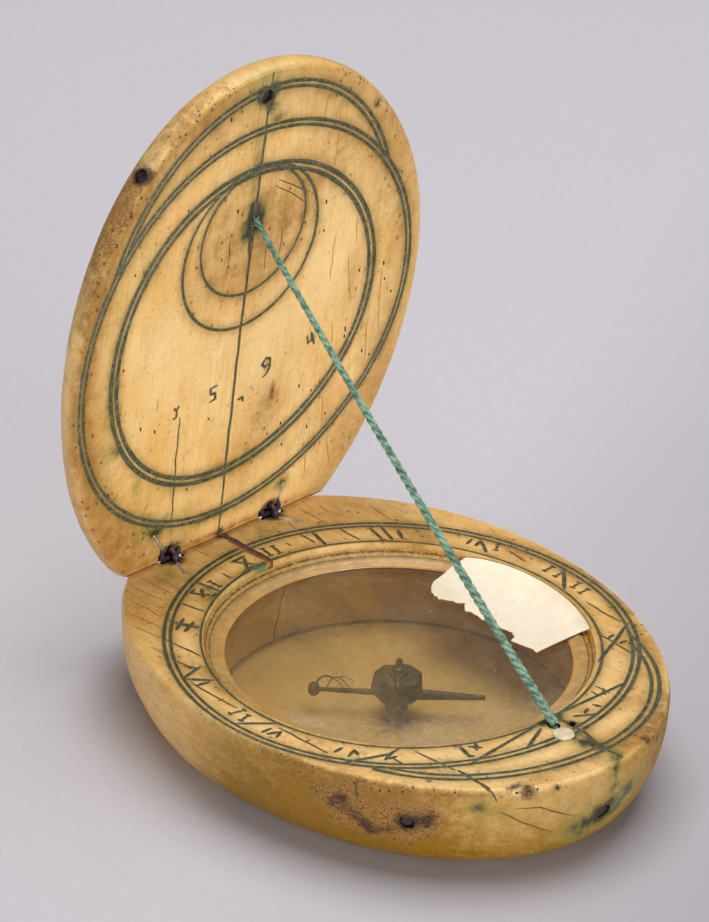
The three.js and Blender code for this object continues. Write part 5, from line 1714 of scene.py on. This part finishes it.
    def needle(self, material):
        """Flat plate with a cross tail and a round tapered point, joined into one mesh."""
        plate = mesh_object("compass_bar", *turned([
            (1.1, -0.35), (2.3, -0.35), (2.4, -0.27), (2.4, 0.27), (2.3, 0.35), (1.1, 0.35),
            (1.1, -0.35)], 48), material)
        tail = [(-9.6 + 7.6 * i / 12, 0.0, 0.0) for i in range(13)]
        tail_reach = [0.3, 0.3, 0.26, 0.26, 0.28, 0.3, 0.3, 0.3, 0.32, 0.34, 0.36, 0.36, 0.36]
        cross = [(-9.5, -0.75 + 0.15 * i, 0.1 * math.sin(i)) for i in range(11)]
        cross_reach = [0.34, 0.5, 0.62, 0.68, 0.7, 0.66, 0.7, 0.68, 0.6, 0.5, 0.32]
        point = [(2.0 + 8.1 * i / 12, 0.0, 0.0) for i in range(13)]
        point_reach = [0.66 - 0.36 * i / 12 for i in range(12)] + [0.28]
        arms = []
        for path, reach in ((tail, tail_reach), (cross, cross_reach), (point, point_reach)):
            arm = tube("arm", [(path, reach, False)], material, 20)
            arms.append(arm)
            modifier = plate.modifiers.new("join", "BOOLEAN")
            modifier.operation = "UNION"
            modifier.solver = "MANIFOLD"
            modifier.object = arm
        bevel = plate.modifiers.new("edges", "BEVEL")
        bevel.width = 0.1
        bevel.segments = 2
        bevel.limit_method = "ANGLE"
        bevel.angle_limit = math.radians(50)
        take_shape(plate)
        for arm in arms:
            remove(arm)
        return plate


class OBJECT_OT_sundial_fittings(bpy.types.Operator):
    """Makes the hinge wires, the peg and the corroded stubs, and dresses the pieces kept from the frame"""
    bl_idname = "object.sundial_fittings"
    bl_label = "Hinge wires, peg and pins"

    def execute(self, context):
        look = finishes(context.scene)
        for hinge in HINGES:
            side = hinge["side"]
            loop = hinge_ring(hinge, 36)
            swell = [0.34 + 0.12 * noise.noise((hinge["x"], y * 2.3, z * 2.3)) for x, y, z in loop]
            leg = rounded(eye_leg(hinge))
            lump = [(hinge["x"] - 1.5 + 0.3 * i, HINGE_Y - 0.15, AXIS_Z - 0.75) for i in range(11)]
            crumbs = [0.42 + 0.3 * noise.noise((x * 1.3, 4.0, 2.0)) for x, y, z in lump]
            crumbs[0] = crumbs[-1] = 0.2
            paths = [(loop, swell, True), (leg, self.wire_reach(leg), False), (lump, crumbs, False)]
            eye = tube(side + "_wire_eye", paths, look["wire"], 14)
            finish_mesh(eye, sharp=60)
            attach(eye, "base", side + "_base_eye")
            line = rounded(staple_line(hinge))
            staple = tube(side + "_wire_staple", [(line, self.wire_reach(line), False)], look["wire"], 14)
            finish_mesh(staple, opened=True, sharp=60)
            attach(staple, "lid", side + "_lid_staple")
        self.peg(look["bone"])
        top_pin = ((*LID_TOP_PIN, LID_FACE_Z + 0.6), (*LID_TOP_PIN, LID_FACE_Z + 3.2))
        stubs = (
            ("base_side_pin", "base", pin_line(BASE_PLAN, *BASE_SIDE_PIN, base_height, 0.6, 2.4)),
            ("base_front_pin", "base", pin_line(BASE_PLAN, *BASE_FRONT_PIN, base_height, 0.35, 2.6)),
            ("lid_rim_pin", "lid", pin_line(LID_PLAN, *LID_RIM_PIN, lid_height, 0.6, 2.4)),
            ("lid_top_pin", "lid", top_pin),
        )
        for node, body, line in stubs:
            stub = ragged_rod(STUB_RADIUS, *line, look["crusted"], 0.16)
            stub.name = node.replace("pin", "stub")
            finish_mesh(stub, opened=body == "lid", sharp=60)
            attach(stub, body, node)
        for node, name in (("pivot_pin", "brass"), ("string_tail", "thread")):
            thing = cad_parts[node]
            thing = bpy.data.objects[thing] if isinstance(thing, str) else thing
            for slot in thing.material_slots:
                slot.material = look[name]
        return {"FINISHED"}

    def wire_reach(self, line):
        """Half the wire's thickness: swollen with corrosion at the axis, thin along the legs."""
        away = [math.hypot(y - HINGE_Y, z - AXIS_Z) for x, y, z in line]
        return [0.17 + 0.15 * min(1.0, max(0.0, (1.0 - gap) / 0.5)) for gap in away]

    def peg(self, material):
        smooth, faces = turned([
            (0, 7.3), (0.9, 7.3), (1.18, 11.8), (1.22, 12.3), (1.12, 12.42), (0.8, 12.48), (0, 12.5)],
            40, PEG_SPOT)
        points = []
        for x, y, z in smooth:
            push = 0.09 * noise.noise((x * 1.3, y * 1.3, z))
            points.append((x + push, y - push, min(z, 12.45 + push)))
        peg = mesh_object("bone_peg", points, faces, material)
        finish_mesh(peg, sharp=50)
        attach(peg, "base", "string_peg")


class OBJECT_OT_sundial_stage(bpy.types.Operator):
    """Makes the camera, the pale floor and the lights"""
    bl_idname = "object.sundial_stage"
    bl_label = "Camera, floor and light"

    def execute(self, context):
        scene = context.scene
        scene.view_settings.view_transform = "Standard"
        self.camera(scene)
        self.floor()
        self.lights(scene)
        return {"FINISHED"}

    def camera(self, scene):
        data = bpy.data.cameras.new("view")
        data.lens = 195.2
        data.sensor_width = 36
        data.clip_start = 0.01
        view = bpy.data.objects.new("view", data)
        view.matrix_world = Matrix((
            (0.71119575, 0.31459573, -0.62867331, -0.353811),
            (-0.70198608, 0.3656811, -0.61114063, -0.335608),
            (0.03763172, 0.87596053, 0.48091267, 0.302728),
            (0, 0, 0, 1)))
        scene.collection.objects.link(view)
        scene.camera = view

    def floor(self):
        material, tree, shader = new_material("pale_paper_floor")
        spot = plain_spot(tree)
        fine = noise_at(tree, spot, (0.9, 0.9, 0.9), 4.0, 0.6)
        # Painted shade: the floor's colour darkens towards the front right, a painted fall-off of the light.
        slant = add_node(
            tree, "ShaderNodeVectorMath", {0: spot, 1: (0.5, -1.0, 0.0)}, operation="DOT_PRODUCT")
        painted_falloff = ramp(tree, slant.outputs["Value"], -10.0, 100.0)
        colour = mix(tree, painted_falloff, srgb(206, 202, 208), srgb(148, 145, 154))
        colour = mix(tree, ramp(tree, fine, 0.4, 0.6, 0.0, 0.12), colour, srgb(190, 185, 190))
        feed(tree, shader, {"Base Color": colour, "Roughness": 0.95})
        count = 24
        points = []
        for i in range(count + 1):
            for k in range(count + 1):
                points.append((-3.0 + 6.0 * i / count, -3.0 + 6.0 * k / count, 0.0))
        width = count + 1
        faces = [(i * width + k, (i + 1) * width + k, (i + 1) * width + k + 1, i * width + k + 1)
                 for i in range(count) for k in range(count)]
        floor = mesh_object("floor", points, faces, material)

    def lights(self, scene):
        settings = scene.sundial_stage
        world = bpy.data.worlds.new("soft_sky")
        world.use_nodes = True
        ground = world.node_tree.nodes["Background"]
        ground.inputs["Color"].default_value = (0.98, 0.97, 1.0, 1.0)
        ground.inputs["Strength"].default_value = settings.sky_strength
        scene.world = world
        lamps = (
            ("key", (0.1, 0.06, 0.6), (0.0, 0.0, 0.02), 0.5, 0.5, settings.key_power),
            ("front", (-0.3, -1.55, 0.18), (0.0, 0.02, 0.03), 1.0, 0.32, settings.front_power),
            ("left", (-1.25, 0.1, 0.16), (0.0, 0.0, 0.02), 0.5, 0.24, settings.left_power),
        )
        for name, place, target, width, height, power in lamps:
            data = bpy.data.lights.new(name, "AREA")
            data.shape = "RECTANGLE"
            data.size = width
            data.size_y = height
            data.energy = power
            lamp = bpy.data.objects.new(name, data)
            back = np.array(place) - np.array(target)
            back = back / np.linalg.norm(back)
            right = np.cross((0, 0.01, 1), back)
            right = right / np.linalg.norm(right)
            up = np.cross(back, right)
            turn = np.eye(4)
            turn[:3, 0] = right
            turn[:3, 1] = up
            turn[:3, 2] = back
            turn[:3, 3] = place
            lamp.matrix_world = Matrix(turn.tolist())
            scene.collection.objects.link(lamp)


class VIEW3D_PT_sundial(bpy.types.Panel):
    """Lists the settings and the pieces"""
    bl_label = "Ivory pocket sundial"
    bl_idname = "VIEW3D_PT_sundial"
    bl_space_type = "VIEW_3D"
    bl_region_type = "UI"
    bl_category = "Sundial"

    def draw(self, context):
        for group_name, kind in SETTINGS.items():
            for name in kind.__annotations__:
                self.layout.prop(getattr(context.scene, group_name), name)
        for operator in OPERATORS:
            self.layout.operator(operator.bl_idname)


OPERATORS = (
    OBJECT_OT_sundial_stage, OBJECT_OT_sundial_thread, OBJECT_OT_sundial_base, OBJECT_OT_sundial_lid,
    OBJECT_OT_sundial_compass, OBJECT_OT_sundial_fittings,
)
SETTINGS = {
    "sundial_leaf": LeafSettings, "sundial_thread": ThreadSettings, "sundial_finish": FinishSettings,
    "sundial_stage": StageSettings,
}
CLASSES = (*SETTINGS.values(), *OPERATORS, VIEW3D_PT_sundial)


def register():
    for kind in CLASSES:
        bpy.utils.register_class(kind)
    for name, kind in SETTINGS.items():
        setattr(bpy.types.Scene, name, bpy.props.PointerProperty(type=kind))


def unregister():
    for name in SETTINGS:
        delattr(bpy.types.Scene, name)
    for kind in reversed(CLASSES):
        bpy.utils.unregister_class(kind)


def main():
    register()
    scene = bpy.context.scene
    scene["sundial_look"] = {name: material.name for name, material in make_materials().items()}
    sweep_tree()
    twist_tree()
    for operator in OPERATORS:
        group, name = operator.bl_idname.split(".")
        getattr(getattr(bpy.ops, group), name)()


if __name__ == "__main__":
    main()
